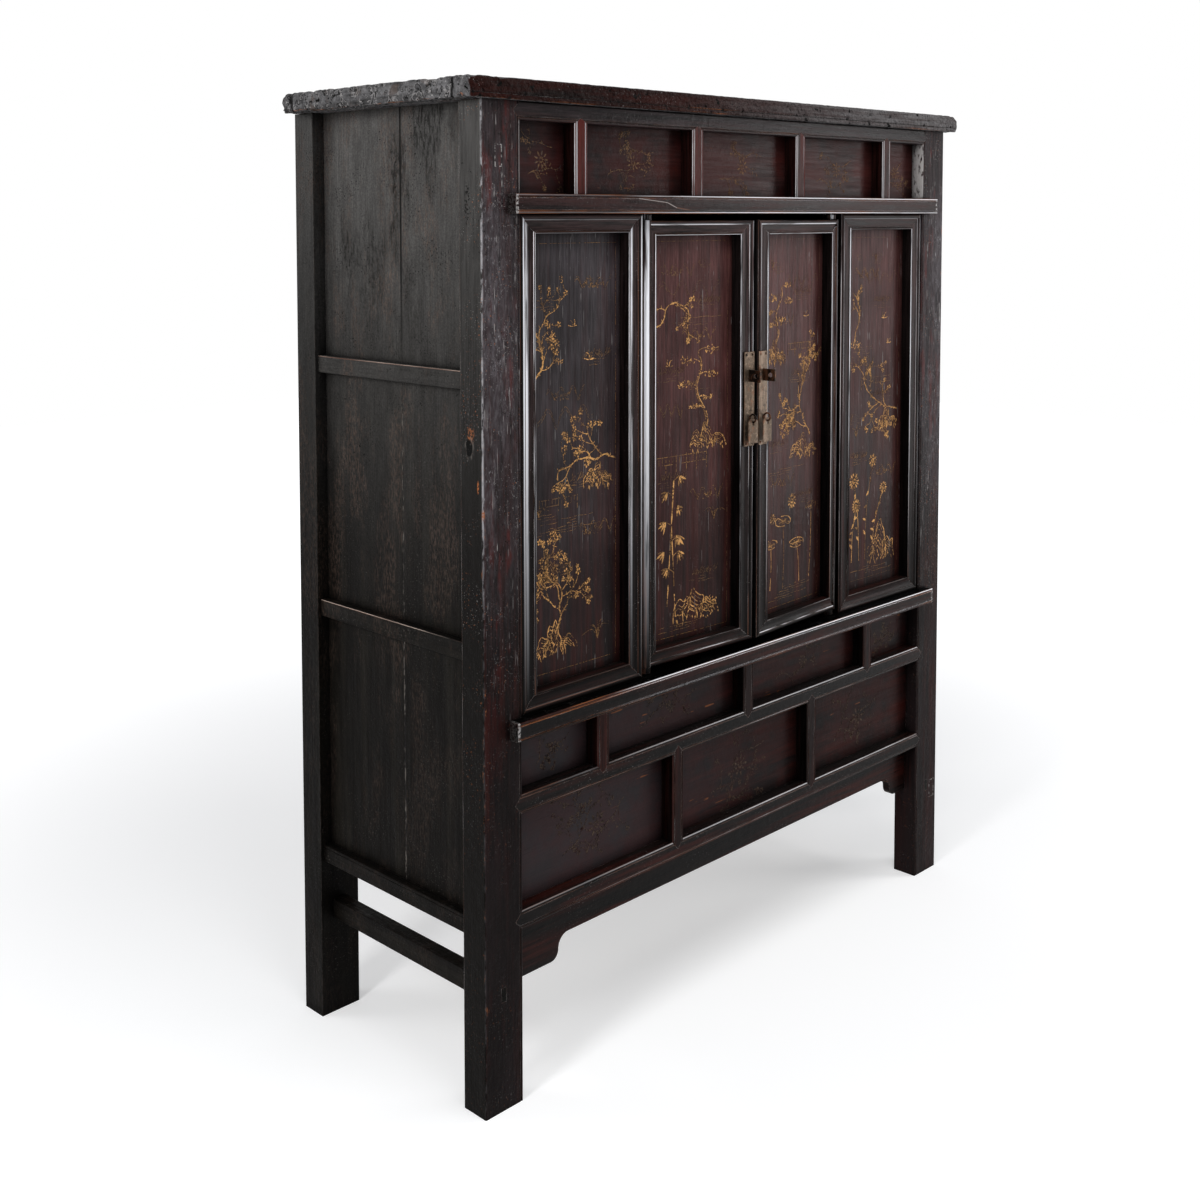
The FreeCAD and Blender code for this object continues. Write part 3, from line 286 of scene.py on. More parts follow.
class Paint:
    """A finish built up coat by coat on one surface shader. Scales are in waves per metre."""

    def __init__(self, name, grain, dark, light, light_low=0.45, edge_reach=edge_wear,
                 corner_reach=corner_dirt_and_shade):
        self.material, self.tree, self.surface = new_surface(name)
        spot = add(self.tree, "TexCoord", {}).outputs
        self.place = spot["Object"]
        self.facing = spot["Normal"]
        self.along = self.stretched(grain)
        self.tall = self.stretched(patch_stretch)
        self.rounded = add(self.tree, "Bevel", {"Radius": edge_reach}, samples=4).outputs[0]
        straight = add(self.tree, "NewGeometry", {}).outputs["Normal"]
        turned = self.share(self.along_way(self.rounded, straight), 0.995, 0.80)
        # The corner share from ambient occlusion: finish darkens the colour by it, as dirt and painted shade
        # in the recesses
        opening = add(self.tree, "AmbientOcclusion", {"Distance": corner_reach}, samples=4).outputs["AO"]
        self.corner = self.share(opening, 0.80, 0.30)
        self.edge = self.both(turned, self.share(opening, 0.42, 0.60))
        self.rim = self.both(turned, self.share(opening, 0.25, 0.38))
        self.colour = mixed(self.tree, self.grain(22, light_low, light_low + 0.2), dark, light)
        self.painted_highlights = []
        self.relief = self.maths("ADD", self.cloud(60, 0.0, 1.0, 4), self.grain(430, 0.0, 1.0, 3, 0.0, 0.3))

    def share(self, value, low, high, to_low=0.0, to_high=1.0):
        return share(self.tree, value, low, high, to_low, to_high)

    def maths(self, operation, first, second=0.0):
        return maths(self.tree, operation, first, second)

    def vectors(self, operation, first, second=(0, 0, 0), out="Vector"):
        return add(self.tree, "VectorMath", {0: first, 1: second}, operation=operation).outputs[out]

    def scaled(self, vector, amount):
        return add(self.tree, "VectorMath", {0: vector, "Scale": amount}, operation="SCALE").outputs[0]

    def along_way(self, first, second):
        return self.vectors("DOT_PRODUCT", first, second, "Value")

    def stretched(self, stretch, turn=(0, 0, 0)):
        inputs = {"Vector": self.place, "Scale": stretch, "Rotation": turn}
        return add(self.tree, "Mapping", inputs).outputs[0]

    def both(self, first, *others):
        """Where all of these amounts are, as their product."""
        for amount in others:
            first = self.maths("MULTIPLY", first, amount)
        return first

    def noise(self, place, scale, low, high, detail, to_low, to_high):
        inputs = {"Vector": place, "Scale": scale, "Detail": detail, "Roughness": 0.65}
        return self.share(add(self.tree, "TexNoise", inputs).outputs[0], low, high, to_low, to_high)

    def cloud(self, scale, low, high, detail=3, to_low=0.0, to_high=1.0):
        """Noise with no direction, as a share of its way from low to high."""
        return self.noise(self.place, scale, low, high, detail, to_low, to_high)

    def grain(self, scale, low, high, detail=4, to_low=0.0, to_high=1.0):
        """Noise drawn out along the grain."""
        return self.noise(self.along, scale, low, high, detail, to_low, to_high)

    def patch(self, scale, low, high, to_low=0.0, to_high=1.0):
        """Noise drawn out a little along the height."""
        return self.noise(self.tall, scale, low, high, 4, to_low, to_high)

    def band(self, scale, low, high):
        """Noise between two levels, which rings each dent."""
        return self.both(self.cloud(scale, low, low + 0.02, 2), self.cloud(scale, high, high - 0.02, 2))

    def part(self, axis):
        return add(self.tree, "SeparateXYZ", {"Vector": self.place}).outputs[axis]

    def span(self, axis, reach, to_low=0.0, to_high=1.0):
        """How far a place lies along a reach of one axis."""
        return self.share(self.part(axis), *reach, to_low, to_high)

    def aside(self, reach, to_low=0.0, to_high=1.0):
        """How far a place lies along a reach to either side of the middle."""
        return self.share(self.maths("ABSOLUTE", self.part("X")), *reach, to_low, to_high)

    def towards(self, way, low, high):
        """How squarely the surface faces one way."""
        return self.share(self.along_way(self.facing, way), low, high)

    def near(self, centre, reach, full):
        """How near a place is to a centre, within a reach along each axis."""
        gap = self.vectors("DIVIDE", self.vectors("SUBTRACT", self.place, centre), reach)
        return self.share(self.vectors("LENGTH", gap, out="Value"), 1.0, full)

    def stripe(self, axis, place, half):
        """How near a point is to a plane square to one axis."""
        gap = self.maths("ABSOLUTE", self.maths("SUBTRACT", self.part(axis), place))
        return self.share(gap, half, half * 0.3)

    def slope(self, way, low, high, broken, heights):
        """The slopes of a moulding that face one way, in a broken line that grows with height."""
        return self.both(self.towards(way, low, low + 0.12), self.towards(way, high + 0.06, high),
                         self.grain(70, broken, broken + 0.2), self.span("Z", heights))

    def lay(self, tone, *amounts):
        """Lays a tone over the colour so far, where all of these amounts are."""
        self.colour = mixed(self.tree, self.both(*amounts), self.colour, tone)

    def tint(self, amount):
        """Darkens or lightens the colour so far."""
        self.colour = self.scaled(self.colour, amount)

    def sink(self, amount, depth):
        """Presses marks into the surface."""
        self.relief = self.maths("SUBTRACT", self.relief, self.both(amount, depth))

    def mark(self, tone, *amounts, depth=0.3):
        """Lays a tone and presses it into the surface."""
        amount = self.both(*amounts)
        self.lay(tone, amount)
        self.sink(amount, depth)

    def paint_highlight(self, tone, *amounts):
        """A painted highlight, laid over everything else."""
        self.painted_highlights.append((self.both(*amounts), tone))

    def streak(self, scale, low, high):
        self.tint(self.grain(scale, 0.34, 0.66, 5, low, high))

    def fade(self, tone, heights, veil_scale=90, veil_low=0.35):
        """A tone that grows with height, in streaks: on most surfaces a painted sheen, lighter higher up
        where the light falls; on the uprights their red.
        """
        self.lay(tone, self.span("Z", heights), self.grain(veil_scale, 0.36, 0.62, 5, veil_low, 1.0))

    def rub(self, tone, amount, low=0.36):
        """Wear along the edges."""
        wear = self.cloud(55, low, low + 0.22, 5, 0.0, amount)
        self.lay(tone, self.share(self.edge, 0.05, 0.6), wear)

    def chip(self, tone, amount):
        """Small bright breaks on the very edge."""
        breaks = self.grain(230, 0.50, 0.58, 4, 0.0, amount)
        self.mark(tone, self.share(self.edge, 0.45, 0.85), breaks)

    def speckle(self, tone, low, amount, scale=300):
        """Fine specks that gather in patches."""
        specks = self.cloud(scale, low, low + 0.05, 2)
        self.mark(tone, specks, self.cloud(9, 0.42, 0.62, 3, 0.0, amount))

    def scratch(self, tone, low, turn, amount):
        """Thin scratches that all lean one way."""
        lines = self.noise(self.stretched(scratch_stretch, (0, turn, 0)), 1, low, low + 0.03, 2, 0.0, 1.0)
        self.mark(tone, lines, self.cloud(24, 0.48, 0.58, 2, 0.0, amount))

    def pits(self, scale, low, patch_low):
        """Small dark holes that gather in patches."""
        holes = self.cloud(scale, low, low + 0.04, 2)
        self.mark(pit_and_shade_black, holes, self.cloud(14, patch_low, patch_low + 0.1, 2), depth=0.8)

    def dents(self, scale, level):
        """Shallow dents with a dark and a bright rim."""
        self.sink(self.cloud(scale, level, level + 0.03, 2), 2.5)
        self.lay(pit_and_shade_black, self.band(scale, level - 0.02, level + 0.03), 0.8)
        self.lay(top_chip, self.band(scale, level + 0.02, level + 0.07), 0.35)

    def crest(self, way, tone, low, high, broken=0.0, heights=everywhere):
        """Lays a tone on the slopes that face one way, away from the corners: worn tones as wear, black as
        painted shade.
        """
        free = self.maths("SUBTRACT", 1.0, self.corner)
        self.lay(tone, self.slope(way, low, high, broken, heights), free)

    def slope_highlight(self, way, tone, low, high, broken, heights, amount):
        """Painted highlight lines on the slopes that face one way."""
        self.paint_highlight(tone, self.slope(way, low, high, broken, heights), amount)

    def arris_highlight(self, height, amount, tone):
        """A broken painted highlight along a level arris of the front."""
        self.paint_highlight(tone, self.stripe("Z", height, line_half), self.towards(to_front, 0.1, 0.4),
                   self.grain(34, 0.36, 0.48), amount)

    def arris(self, tone, reach, low, heights):
        """A broken line along the posts' outer arrises that grows with height: the pale tones are painted
        highlights, the orange one bare wood.
        """
        level = self.vectors("ABSOLUTE", self.stretched((1, 1, 0)))
        gap = self.vectors("DISTANCE", level, post_arris, "Value")
        line = self.both(self.share(gap, reach, reach * 0.4), self.patch(150, low, low + 0.12),
                         self.patch(34, 0.36, 0.52, 0.25, 1.0), self.span("Z", heights, 0.08, 1.0))
        self.mark(tone, line)

    def plank_line(self, axis, place, half, tone, *amounts):
        """A joint that runs square to one axis."""
        self.mark(tone, self.stripe(axis, place, half), *amounts)

    def outline(self, centre, half):
        """A broken pale outline of a tenon's end on a face that looks to the front."""
        gap = self.vectors("ABSOLUTE", self.vectors("SUBTRACT", self.place, (centre[0], 0, centre[1])))
        gap = self.vectors("SUBTRACT", gap, (half[0], 0, half[1]))
        sides = add(self.tree, "SeparateXYZ", {"Vector": gap}).outputs
        rim = self.maths("ABSOLUTE", self.maths("MAXIMUM", sides["X"], sides["Z"]))
        line = self.share(rim, tenon_line, tenon_line * 0.3)
        self.mark(pale_scratch, line, self.cloud(160, 0.48, 0.60))

    def cut(self, ends, width, tone):
        """A crack on the front that runs from point to point."""
        level = self.stretched((1, 0, 1))
        for start, end in zip(ends, ends[1:]):
            first = Vector((start[0], 0, start[1]))
            run = Vector((end[0], 0, end[1])) - first
            gap = self.vectors("SUBTRACT", level, first)
            reach = self.along_way(gap, run / run.length_squared)
            reach = add(self.tree, "Clamp", {"Value": reach}).outputs[0]
            off = self.vectors("DISTANCE", gap, self.scaled(run, reach), "Value")
            self.mark(tone, self.share(off, width, width * 0.3), depth=1.0)

    def knot(self):
        """A lost knot on the outer side of the left post: a black hole with bare wood about it."""
        bare = self.near(knot_place + knot_rise, knot_reach * 1.8, 0.3)
        self.lay(orange_edge, bare, self.cloud(150, 0.46, 0.56), 0.6)
        rim = self.near(knot_place, knot_reach * 2.0, 0.8)
        self.lay(side_pale, rim, self.patch(90, 0.48, 0.56), 0.4)
        for place, reach in orange_chips:
            self.lay(orange_edge, self.near(place, reach, 0.5), self.cloud(170, 0.40, 0.50))
        hole = self.near(knot_place, knot_reach * 1.5, 0.7)
        self.mark(pit_and_shade_black, hole, self.cloud(95, 0.30, 0.42), depth=1.5)

    def shade_walls(self, amount):
        """Painted shade: darkens the faces that look straight to either side, as in the recesses."""
        side = self.maths("ABSOLUTE", self.along_way(self.facing, to_right))
        self.tint(self.share(side, 0.95, 0.99, 1.0, amount))

    def finish(self, gloss, bump=0.3, coat=0.0):
        """Paints shade into the corners, lays the painted highlights over everything, and sets gloss, coat
        and bumps.
        """
        self.tint(self.maths("SUBTRACT", 1.0, self.both(self.corner, 0.9)))
        for amount, tone in self.painted_highlights:
            self.lay(tone, amount)
        rough = self.grain(170, 0.3, 0.7, 4, gloss, gloss + 0.26)
        rough = self.maths("ADD", rough, self.both(self.corner, 0.3))
        inputs = {"Height": self.relief, "Strength": bump, "Distance": bump_height, "Normal": self.rounded}
        normal = add(self.tree, "Bump", inputs).outputs[0]
        plug(self.tree, self.surface, {
            "Base Color": self.colour, "Roughness": rough, "Specular IOR Level": 0.035,
            "Coat Weight": coat, "Coat Roughness": 0.12, "Normal": normal, "Coat Normal": normal})
        return self.material


def post_paint():
    """Front posts: a painted mottled purple grey sheen over oxblood, a painted grey sheen on the outer side,
    and painted sparkling highlights along the arris.
    """
    paint = Paint("post_lacquer", along_z, black_lacquer, oxblood)
    # A painted grey sheen that grows with height
    paint.fade(front_grey_sheen, post_grey_sheen_heights)
    paint.streak(190, 0.45, 1.6)
    paint.lay(red_brown, paint.patch(22, 0.50, 0.62, 0.0, 0.7), paint.span("Z", post_red_heights, 0.12, 1.0),
              paint.grain(90, 0.40, 0.60))
    # A painted plum sheen low down, in patches
    paint.lay(low_plum_sheen, paint.span("Z", post_low_sheen_heights, 0.0, 0.7), paint.patch(12, 0.36, 0.60, 0.3, 1.0))
    # A painted mottled grey sheen, with fine painted highlights in it
    sheen = paint.both(paint.span("Z", post_sheen_heights), paint.span("Z", post_head_heights, 0.2, 1.0),
                       paint.aside(post_sheen_reach, 0.45, 1.0), paint.patch(16, 0.34, 0.56, 0.2, 1.0))
    paint.lay(grey_painted_sheen, sheen, paint.patch(150, 0.38, 0.66, 0.25, 0.95))
    paint.lay(line_painted_highlight, sheen, paint.cloud(30, 0.50, 0.60), paint.patch(420, 0.55, 0.66))
    outer = paint.aside(post_side_reach)
    paint.lay(side_dark, outer)
    # A painted grey sheen on the outer side, higher up
    paint.lay(side_grey_sheen, outer, paint.span("Z", post_side_heights),
              paint.grain(220, 0.34, 0.62, 5, 0.5, 1.0))
    paint.rub(rubbed_edge, 0.5)
    paint.chip(pale_scratch, 0.6)
    for line in arris_lines:
        paint.arris(*line)
    paint.speckle(pale_scratch, 0.645, paint.span("Z", post_speck_heights, 0.15, 0.6))
    paint.speckle(orange_edge, 0.655, paint.span("Z", post_speck_heights, 0.2, 0.6), 190)
    frontal = paint.both(paint.towards(to_front, 0.5, 0.9), paint.span("Z", post_scratch_heights))
    paint.scratch(pale_scratch, 0.65, 0.16, paint.both(frontal, 0.8))
    paint.scratch(pale_scratch, 0.68, -0.05, paint.both(frontal, 0.6))
    paint.pits(220, 0.64, 0.50)
    paint.lay(pit_and_shade_black, paint.near(flaked_place, flaked_reach, 0.5), paint.cloud(230, 0.50, 0.56))
    paint.lay(pale_scratch, paint.aside(bead_reach), paint.span("Z", bead_foot_heights),
              paint.span("Z", bead_head_heights), paint.patch(160, 0.36, 0.48))
    for mark in tenon_marks:
        paint.outline(*mark)
    paint.knot()
    return paint.finish(0.26, bump=0.5)


def rail_paint():
    """Head rail, middle and bottom rail and apron: worn arrises with painted highlights, over black lacquer
    with a painted grey sheen higher up.
    """
    paint = Paint("rail_lacquer", along_x, black_lacquer, oxblood)
    paint.fade(front_grey_sheen, rail_sheen_heights)
    paint.streak(170, 0.45, 1.7)
    paint.rub(rubbed_edge, 0.8)
    paint.chip(pale_scratch, 0.6)
    paint.crest(upwards, rubbed_edge, 0.35, 0.93, 0.40)
    paint.crest(downwards, orange_edge, 0.45, 0.90, 0.50)
    paint.slope_highlight(upwards, line_painted_highlight, 0.45, 0.85, 0.50, everywhere,
                 paint.span("X", rail_highlight_run, 0.3, 1.0))
    for height in small_rail_lines:
        paint.arris_highlight(height, paint.span("X", small_line_run, 0.25, 0.9), edge_painted_highlight)
    paint.speckle(pale_scratch, 0.66, 0.4)
    return paint.finish(0.24, coat=0.08)


def door_rail_paint():
    """The two projecting rails: red brown with a painted sheen, and worn orange beads with painted
    highlights that grow to the right.
    """
    paint = Paint("red_rail_lacquer", along_x, black_lacquer, oxblood, 0.38)
    paint.fade(front_grey_sheen, door_rail_sheen_heights)
    paint.streak(170, 0.4, 1.4)
    paint.rub(orange_edge, 0.7, 0.42)
    paint.chip(pale_scratch, 0.8)
    paint.crest(upwards, orange_edge, 0.40, 0.93, 0.46)
    paint.crest(downwards, orange_edge, 0.40, 0.93, 0.42)
    rim = paint.both(paint.share(paint.rim, 0.15, 0.5), paint.grain(40, 0.36, 0.48))
    paint.paint_highlight(line_painted_highlight, rim, paint.span("Z", upper_rail_heights),
                paint.span("X", upper_rim_run, 0.10, 0.8))
    for height in upper_rail_lines:
        paint.arris_highlight(height, paint.span("X", upper_line_run, 0.12, 0.9), bright_painted_highlight)
    paint.arris_highlight(lower_rail_line, paint.span("X", lower_line_run), bright_painted_highlight)
    paint.paint_highlight(bright_painted_highlight, rim, paint.towards(upwards, -0.2, 0.3), paint.span("X", lower_rim_run),
                paint.share(paint.along_way(paint.rounded, to_front), 0.25, 0.45),
                paint.span("Z", lower_rail_heights))
    # Painted shade: the faces that look straight up are made black
    paint.tint(paint.towards(upwards, 0.99, 0.9))
    paint.lay(pale_scratch, paint.aside(rail_end_reach), paint.towards(to_front, -0.2, 0.4),
              paint.cloud(240, 0.46, 0.54))
    paint.cut(rail_crack, crack_width, rubbed_edge)
    paint.cut(rail_crack[:3], crack_core_width, pale_scratch)
    paint.shade_walls(0.3)
    paint.speckle(pale_scratch, 0.66, 0.4)
    return paint.finish(0.24, coat=0.07)


def upright_paint():
    """Muntins: red brown rounds between speckled painted highlight lines, with painted shade on the faces
    that look to either side.
    """
    paint = Paint("upright_lacquer", along_z, black_lacquer, oxblood, 0.42)
    paint.fade(upright_red, upright_heights)
    paint.streak(170, 0.45, 1.7)
    paint.lay(red_brown, paint.towards(to_front, 0.5, 0.95),
              paint.span("Z", upright_round_heights, 0.05, 0.9), paint.grain(26, 0.38, 0.56))
    paint.rub(rubbed_edge, 0.7)
    paint.slope_highlight(to_left, edge_painted_highlight, 0.45, 0.90, 0.34, upright_heights, 0.9)
    paint.slope_highlight(to_right, edge_painted_highlight, 0.36, 0.90, 0.40, upright_right_heights, 0.8)
    paint.chip(pale_scratch, 0.8)
    paint.shade_walls(0.25)
    return paint.finish(0.24, coat=0.04)


def stile_paint(name, highlight_shares):
    """Leaf and door stiles: nearly black, with painted highlight lines and painted black shade on the beads'
    slopes.
    """
    paint = Paint(name, along_z, black_lacquer, oxblood, 0.52, corner_reach=stile_corner_dirt_and_shade)
    paint.fade(stile_plum_sheen, stile_sheen_heights)
    paint.streak(170, 0.35, 1.6)
    paint.rub(rubbed_edge, 0.7)
    paint.crest(to_right, rubbed_edge, 0.40, 0.90, 0.40)
    paint.crest(to_left, rubbed_edge, 0.40, 0.90, 0.44)
    # Painted shade: black on some slopes of the beads
    paint.crest(to_left, pit_and_shade_black, 0.22, 0.46)
    paint.crest(to_right, pit_and_shade_black, 0.56, 0.93)
    for way, (low, high, amount) in zip((to_left, to_right), highlight_shares):
        paint.slope_highlight(way, bright_painted_highlight, low, high, 0.34, stile_highlight_heights, amount)
    paint.chip(pale_scratch, 0.8)
    paint.speckle(pale_scratch, 0.67, 0.5)
    paint.shade_walls(0.15)
    return paint.finish(0.28, bump=0.2, coat=0.03)


def leaf_rail_paint():
    """Rails of leaves and doors: painted highlights, brightest on the doors, and painted black shade on some
    slopes of the beads.
    """
    paint = Paint("leaf_rail_lacquer", along_x, black_lacquer, oxblood, 0.50, corner_reach=stile_corner_dirt_and_shade)
    paint.fade(stile_plum_sheen, leaf_rail_sheen_heights)
    paint.streak(170, 0.45, 1.6)
    paint.rub(rubbed_edge, 0.8)
    paint.crest(upwards, rubbed_edge, 0.25, 0.93, 0.38)
    # Painted shade: black on some slopes of the beads
    paint.crest(upwards, pit_and_shade_black, 0.46, 0.93)
    paint.crest(downwards, pit_and_shade_black, 0.22, 0.50)
    doors = paint.aside(door_reach, 0.2, 1.0)
    paint.slope_highlight(downwards, bright_painted_highlight, 0.36, 0.90, 0.34, leaf_head_heights, doors)
    doors = paint.both(doors, paint.span("X", leaf_highlight_run, 0.2, 0.9))
    paint.slope_highlight(upwards, bright_painted_highlight, 0.36, 0.62, 0.42, leaf_foot_heights, doors)
    paint.chip(pale_scratch, 0.7)
    return paint.finish(0.28, bump=0.2, coat=0.03)


def panel_ground(name, grain, heights, reds=0.42):
    """The ground of the recessed panels, also under the gilding: a painted sheen that grows with height,
    grey to the left, plum to the right.
    """
    paint = Paint(name, grain, panel_dark, panel_red, reds, corner_reach=panel_corner_shade)
    paint.fade(mixed(paint.tree, paint.span("X", plum_run), panel_grey, panel_plum_sheen), heights, 150, 0.55)
    paint.streak(260, 0.72, 1.32)
    paint.tint(paint.cloud(5, 0.36, 0.64, 3, 0.74, 1.24))
    return paint


def tall_panel_paint():
    paint = panel_ground("tall_panel_lacquer", along_z, tall_panel_heights)
    paint.tint(paint.span("X", door_panel_run, 1.0, 1.22))
    paint.lay(panel_red, paint.grain(45, 0.52, 0.64, 4, 0.0, 0.5), paint.span("X", plum_run))
    paint.scratch(pale_scratch, 0.66, 0.10, 0.45)
    paint.speckle(pale_scratch, 0.68, 0.3)
    return paint.finish(0.28, bump=0.2, coat=0.03)


def low_panel_paint():
    """Small panels: red clouds in the top row, greyer and darker ones below."""
    paint = panel_ground("low_panel_lacquer", along_x, low_panel_heights, 0.46)
    high = paint.span("Z", top_row_heights)
    low = paint.maths("SUBTRACT", 1.0, high)
    paint.lay(panel_grey, low, paint.span("X", low_grey_run, 0.0, 0.6))
    # The top row grows lighter to the right, a painted sheen; the lower rows grow darker to the right
    paint.tint(paint.maths("ADD", paint.both(high, paint.span("X", top_row_run, 0.60, 0.86)),
                           paint.both(low, paint.span("X", low_dark_run, 1.10, 0.76))))
    paint.lay(red_brown, paint.cloud(9, 0.38, 0.58, 3), paint.span("Z", row_red_heights, 0.15, 0.30))
    paint.lay(orange_edge, paint.grain(90, 0.66, 0.70, 2), paint.cloud(17, 0.55, 0.6, 2, 0.0, 0.7))
    return paint.finish(0.26, bump=0.25, coat=0.03)


def side_paint(name, grain):
    """Black lacquer of the sides with a painted grey sheen that grows with height: fine streaks, stains,
    brown patches and pits.
    """
    paint = Paint(name, grain, side_dark, side_light, corner_reach=side_corner_shade)
    paint.fade(side_grey_sheen, side_sheen_heights, 220, 0.80)
    paint.lay(side_brown, paint.patch(14, 0.46, 0.60), paint.patch(260, 0.44, 0.62),
              paint.span("Z", side_brown_heights, 0.12, 0.5))
    paint.streak(330, 0.90, 1.12)
    paint.streak(60, 0.94, 1.06)
    paint.tint(paint.patch(30, 0.36, 0.66, 0.86, 1.12))
    paint.tint(paint.cloud(320, 0.30, 0.70, 3, 0.76, 1.26))
    paint.lay(side_dark, paint.span("Z", side_stain_heights), paint.patch(9, 0.48, 0.62),
              paint.patch(210, 0.40, 0.60, 0.15, 0.85))
    paint.speckle(side_pale, 0.645, 0.45)
    paint.pits(260, 0.60, 0.50)
    paint.pits(90, 0.70, 0.46)
    return paint


def side_upright_paint():
    paint = side_paint("side_upright_lacquer", along_z)
    paint.tint(0.58)
    paint.rub(side_pale, 0.3)
    return paint.finish(0.32, bump=0.5)


def side_board_paint():
    """Side boards, with a dark joint that shows pale dots lower down."""
    paint = side_paint("side_board_lacquer", along_z)
    dark = paint.span("Z", joint_heights, 0.35, 0.95)
    paint.plank_line("Y", board_joint, board_joint_half, pit_and_shade_black, dark)
    dots = paint.both(paint.patch(200, 0.52, 0.60), paint.span("Z", joint_dot_heights, 0.0, 0.7))
    paint.plank_line("Y", board_joint, joint_dots_half, side_pale, dots)
    return paint.finish(0.32, bump=0.5)


def side_rail_paint():
    """Side rails and stretchers, whose upper arris has worn to pale and orange wood."""
    paint = side_paint("side_rail_lacquer", along_y)
    outward = paint.aside(side_rail_reach)
    for height in side_rail_tops:
        for half, tone, *wear in side_rail_wear:
            paint.plank_line("Z", height, half, tone, outward, paint.grain(*wear))
    return paint.finish(0.32, bump=0.5)


def top_paint(name, grain):
    """The rough top: worn grey wood with dents and holes, smooth red brown lacquer on the front with a
    painted grey sheen on its right half.
    """
    paint = Paint(name, grain, top_dark, top_light, 0.34)
    paint.streak(120, 0.72, 1.25)
    paint.tint(paint.cloud(34, 0.40, 0.64, 5, 1.10, 0.50))
    paint.sink(paint.cloud(75, 0.40, 0.60, 3), 2.2)
    paint.sink(paint.cloud(28, 0.40, 0.62, 2), 3.0)
    paint.lay(top_chip, paint.cloud(150, 0.58, 0.64, 3), paint.cloud(20, 0.46, 0.58, 2, 0.0, 0.7))
    paint.lay(side_brown, paint.cloud(24, 0.56, 0.66, 3), 0.45)
    paint.dents(52, 0.60)
    paint.dents(36, 0.36)
    front = paint.towards(to_front, 0.45, 0.75)
    paint.lay(mixed(paint.tree, paint.grain(22, 0.34, 0.56), black_lacquer, oxblood), front)
    # A painted grey sheen on the right half of the front
    paint.lay(top_grey_sheen, front, paint.span("X", top_sheen_run), paint.grain(130, 0.36, 0.62, 5, 0.4, 1.0))
    paint.rub(top_chip, 0.25)
    paint.chip(top_chip, 0.5)
    paint.crest(downwards, orange_edge, 0.25, 0.93, 0.54, top_crest_heights)
    paint.speckle(top_chip, 0.65, 0.5, 260)
    paint.pits(75, 0.60, 0.42)
    paint.pits(30, 0.66, 0.42)
    for place in end_joints:
        paint.plank_line("Y", place, end_joint_half, pit_and_shade_black, 0.95)
    return paint.finish(0.42, bump=0.8)


def softwood(name, grain):
    """Bare old softwood inside the cabinet."""
    paint = Paint(name, grain, softwood_dark, softwood_light, 0.40)
    paint.streak(170, 0.80, 1.15)
    paint.streak(480, 0.72, 1.20)
    paint.tint(paint.cloud(6, 0.3, 0.7, 3, 0.72, 1.1))
    paint.tint(paint.cloud(210, 0.30, 0.70, 4, 0.80, 1.15))
    paint.speckle(softwood_dark, 0.66, 0.6)
    return paint.finish(0.60)


def old_brass(name, dark, light, rim, gloss):
    """Brown tarnished brass, mottled black, with rusty edges."""
    paint = Paint(name, along_z, dark, light, edge_reach=brass_edge_wear, corner_reach=brass_corner_dirt)
    paint.lay(dark, paint.cloud(55, 0.50, 0.62, 5))
    paint.lay(light, paint.cloud(160, 0.54, 0.62, 4, 0.0, 0.8))
    paint.lay(brass_rust, paint.cloud(48, 0.55, 0.66, 5, 0.0, 0.7))
    paint.lay(brass_black, paint.cloud(95, 0.56, 0.68, 5, 0.0, 0.6))
    paint.lay(rim, paint.share(paint.edge, 0.1, 0.6), 0.8)
    paint.speckle(brass_black, 0.62, 0.7)
    paint.surface.inputs["Metallic"].default_value = 0.75
    return paint.finish(gloss, bump=0.35)


def gold(name, colour, wear_low):
    """Thin gold paint, worn through to the panel's own lacquer."""
    paint = panel_ground(name, along_z, tall_panel_heights)
    paint.lay(colour, paint.cloud(260, wear_low, wear_low + 0.12, 4),
              paint.cloud(30, 0.28, 0.55, 3, 0.45, 1.0))
    return paint.finish(0.40, bump=0.2)


def dress(material, *names):
    """Gives one material to these CAD nodes."""
    for name in names:
        mesh = nodes[name].data
        mesh.materials.clear()
        mesh.materials.append(material)


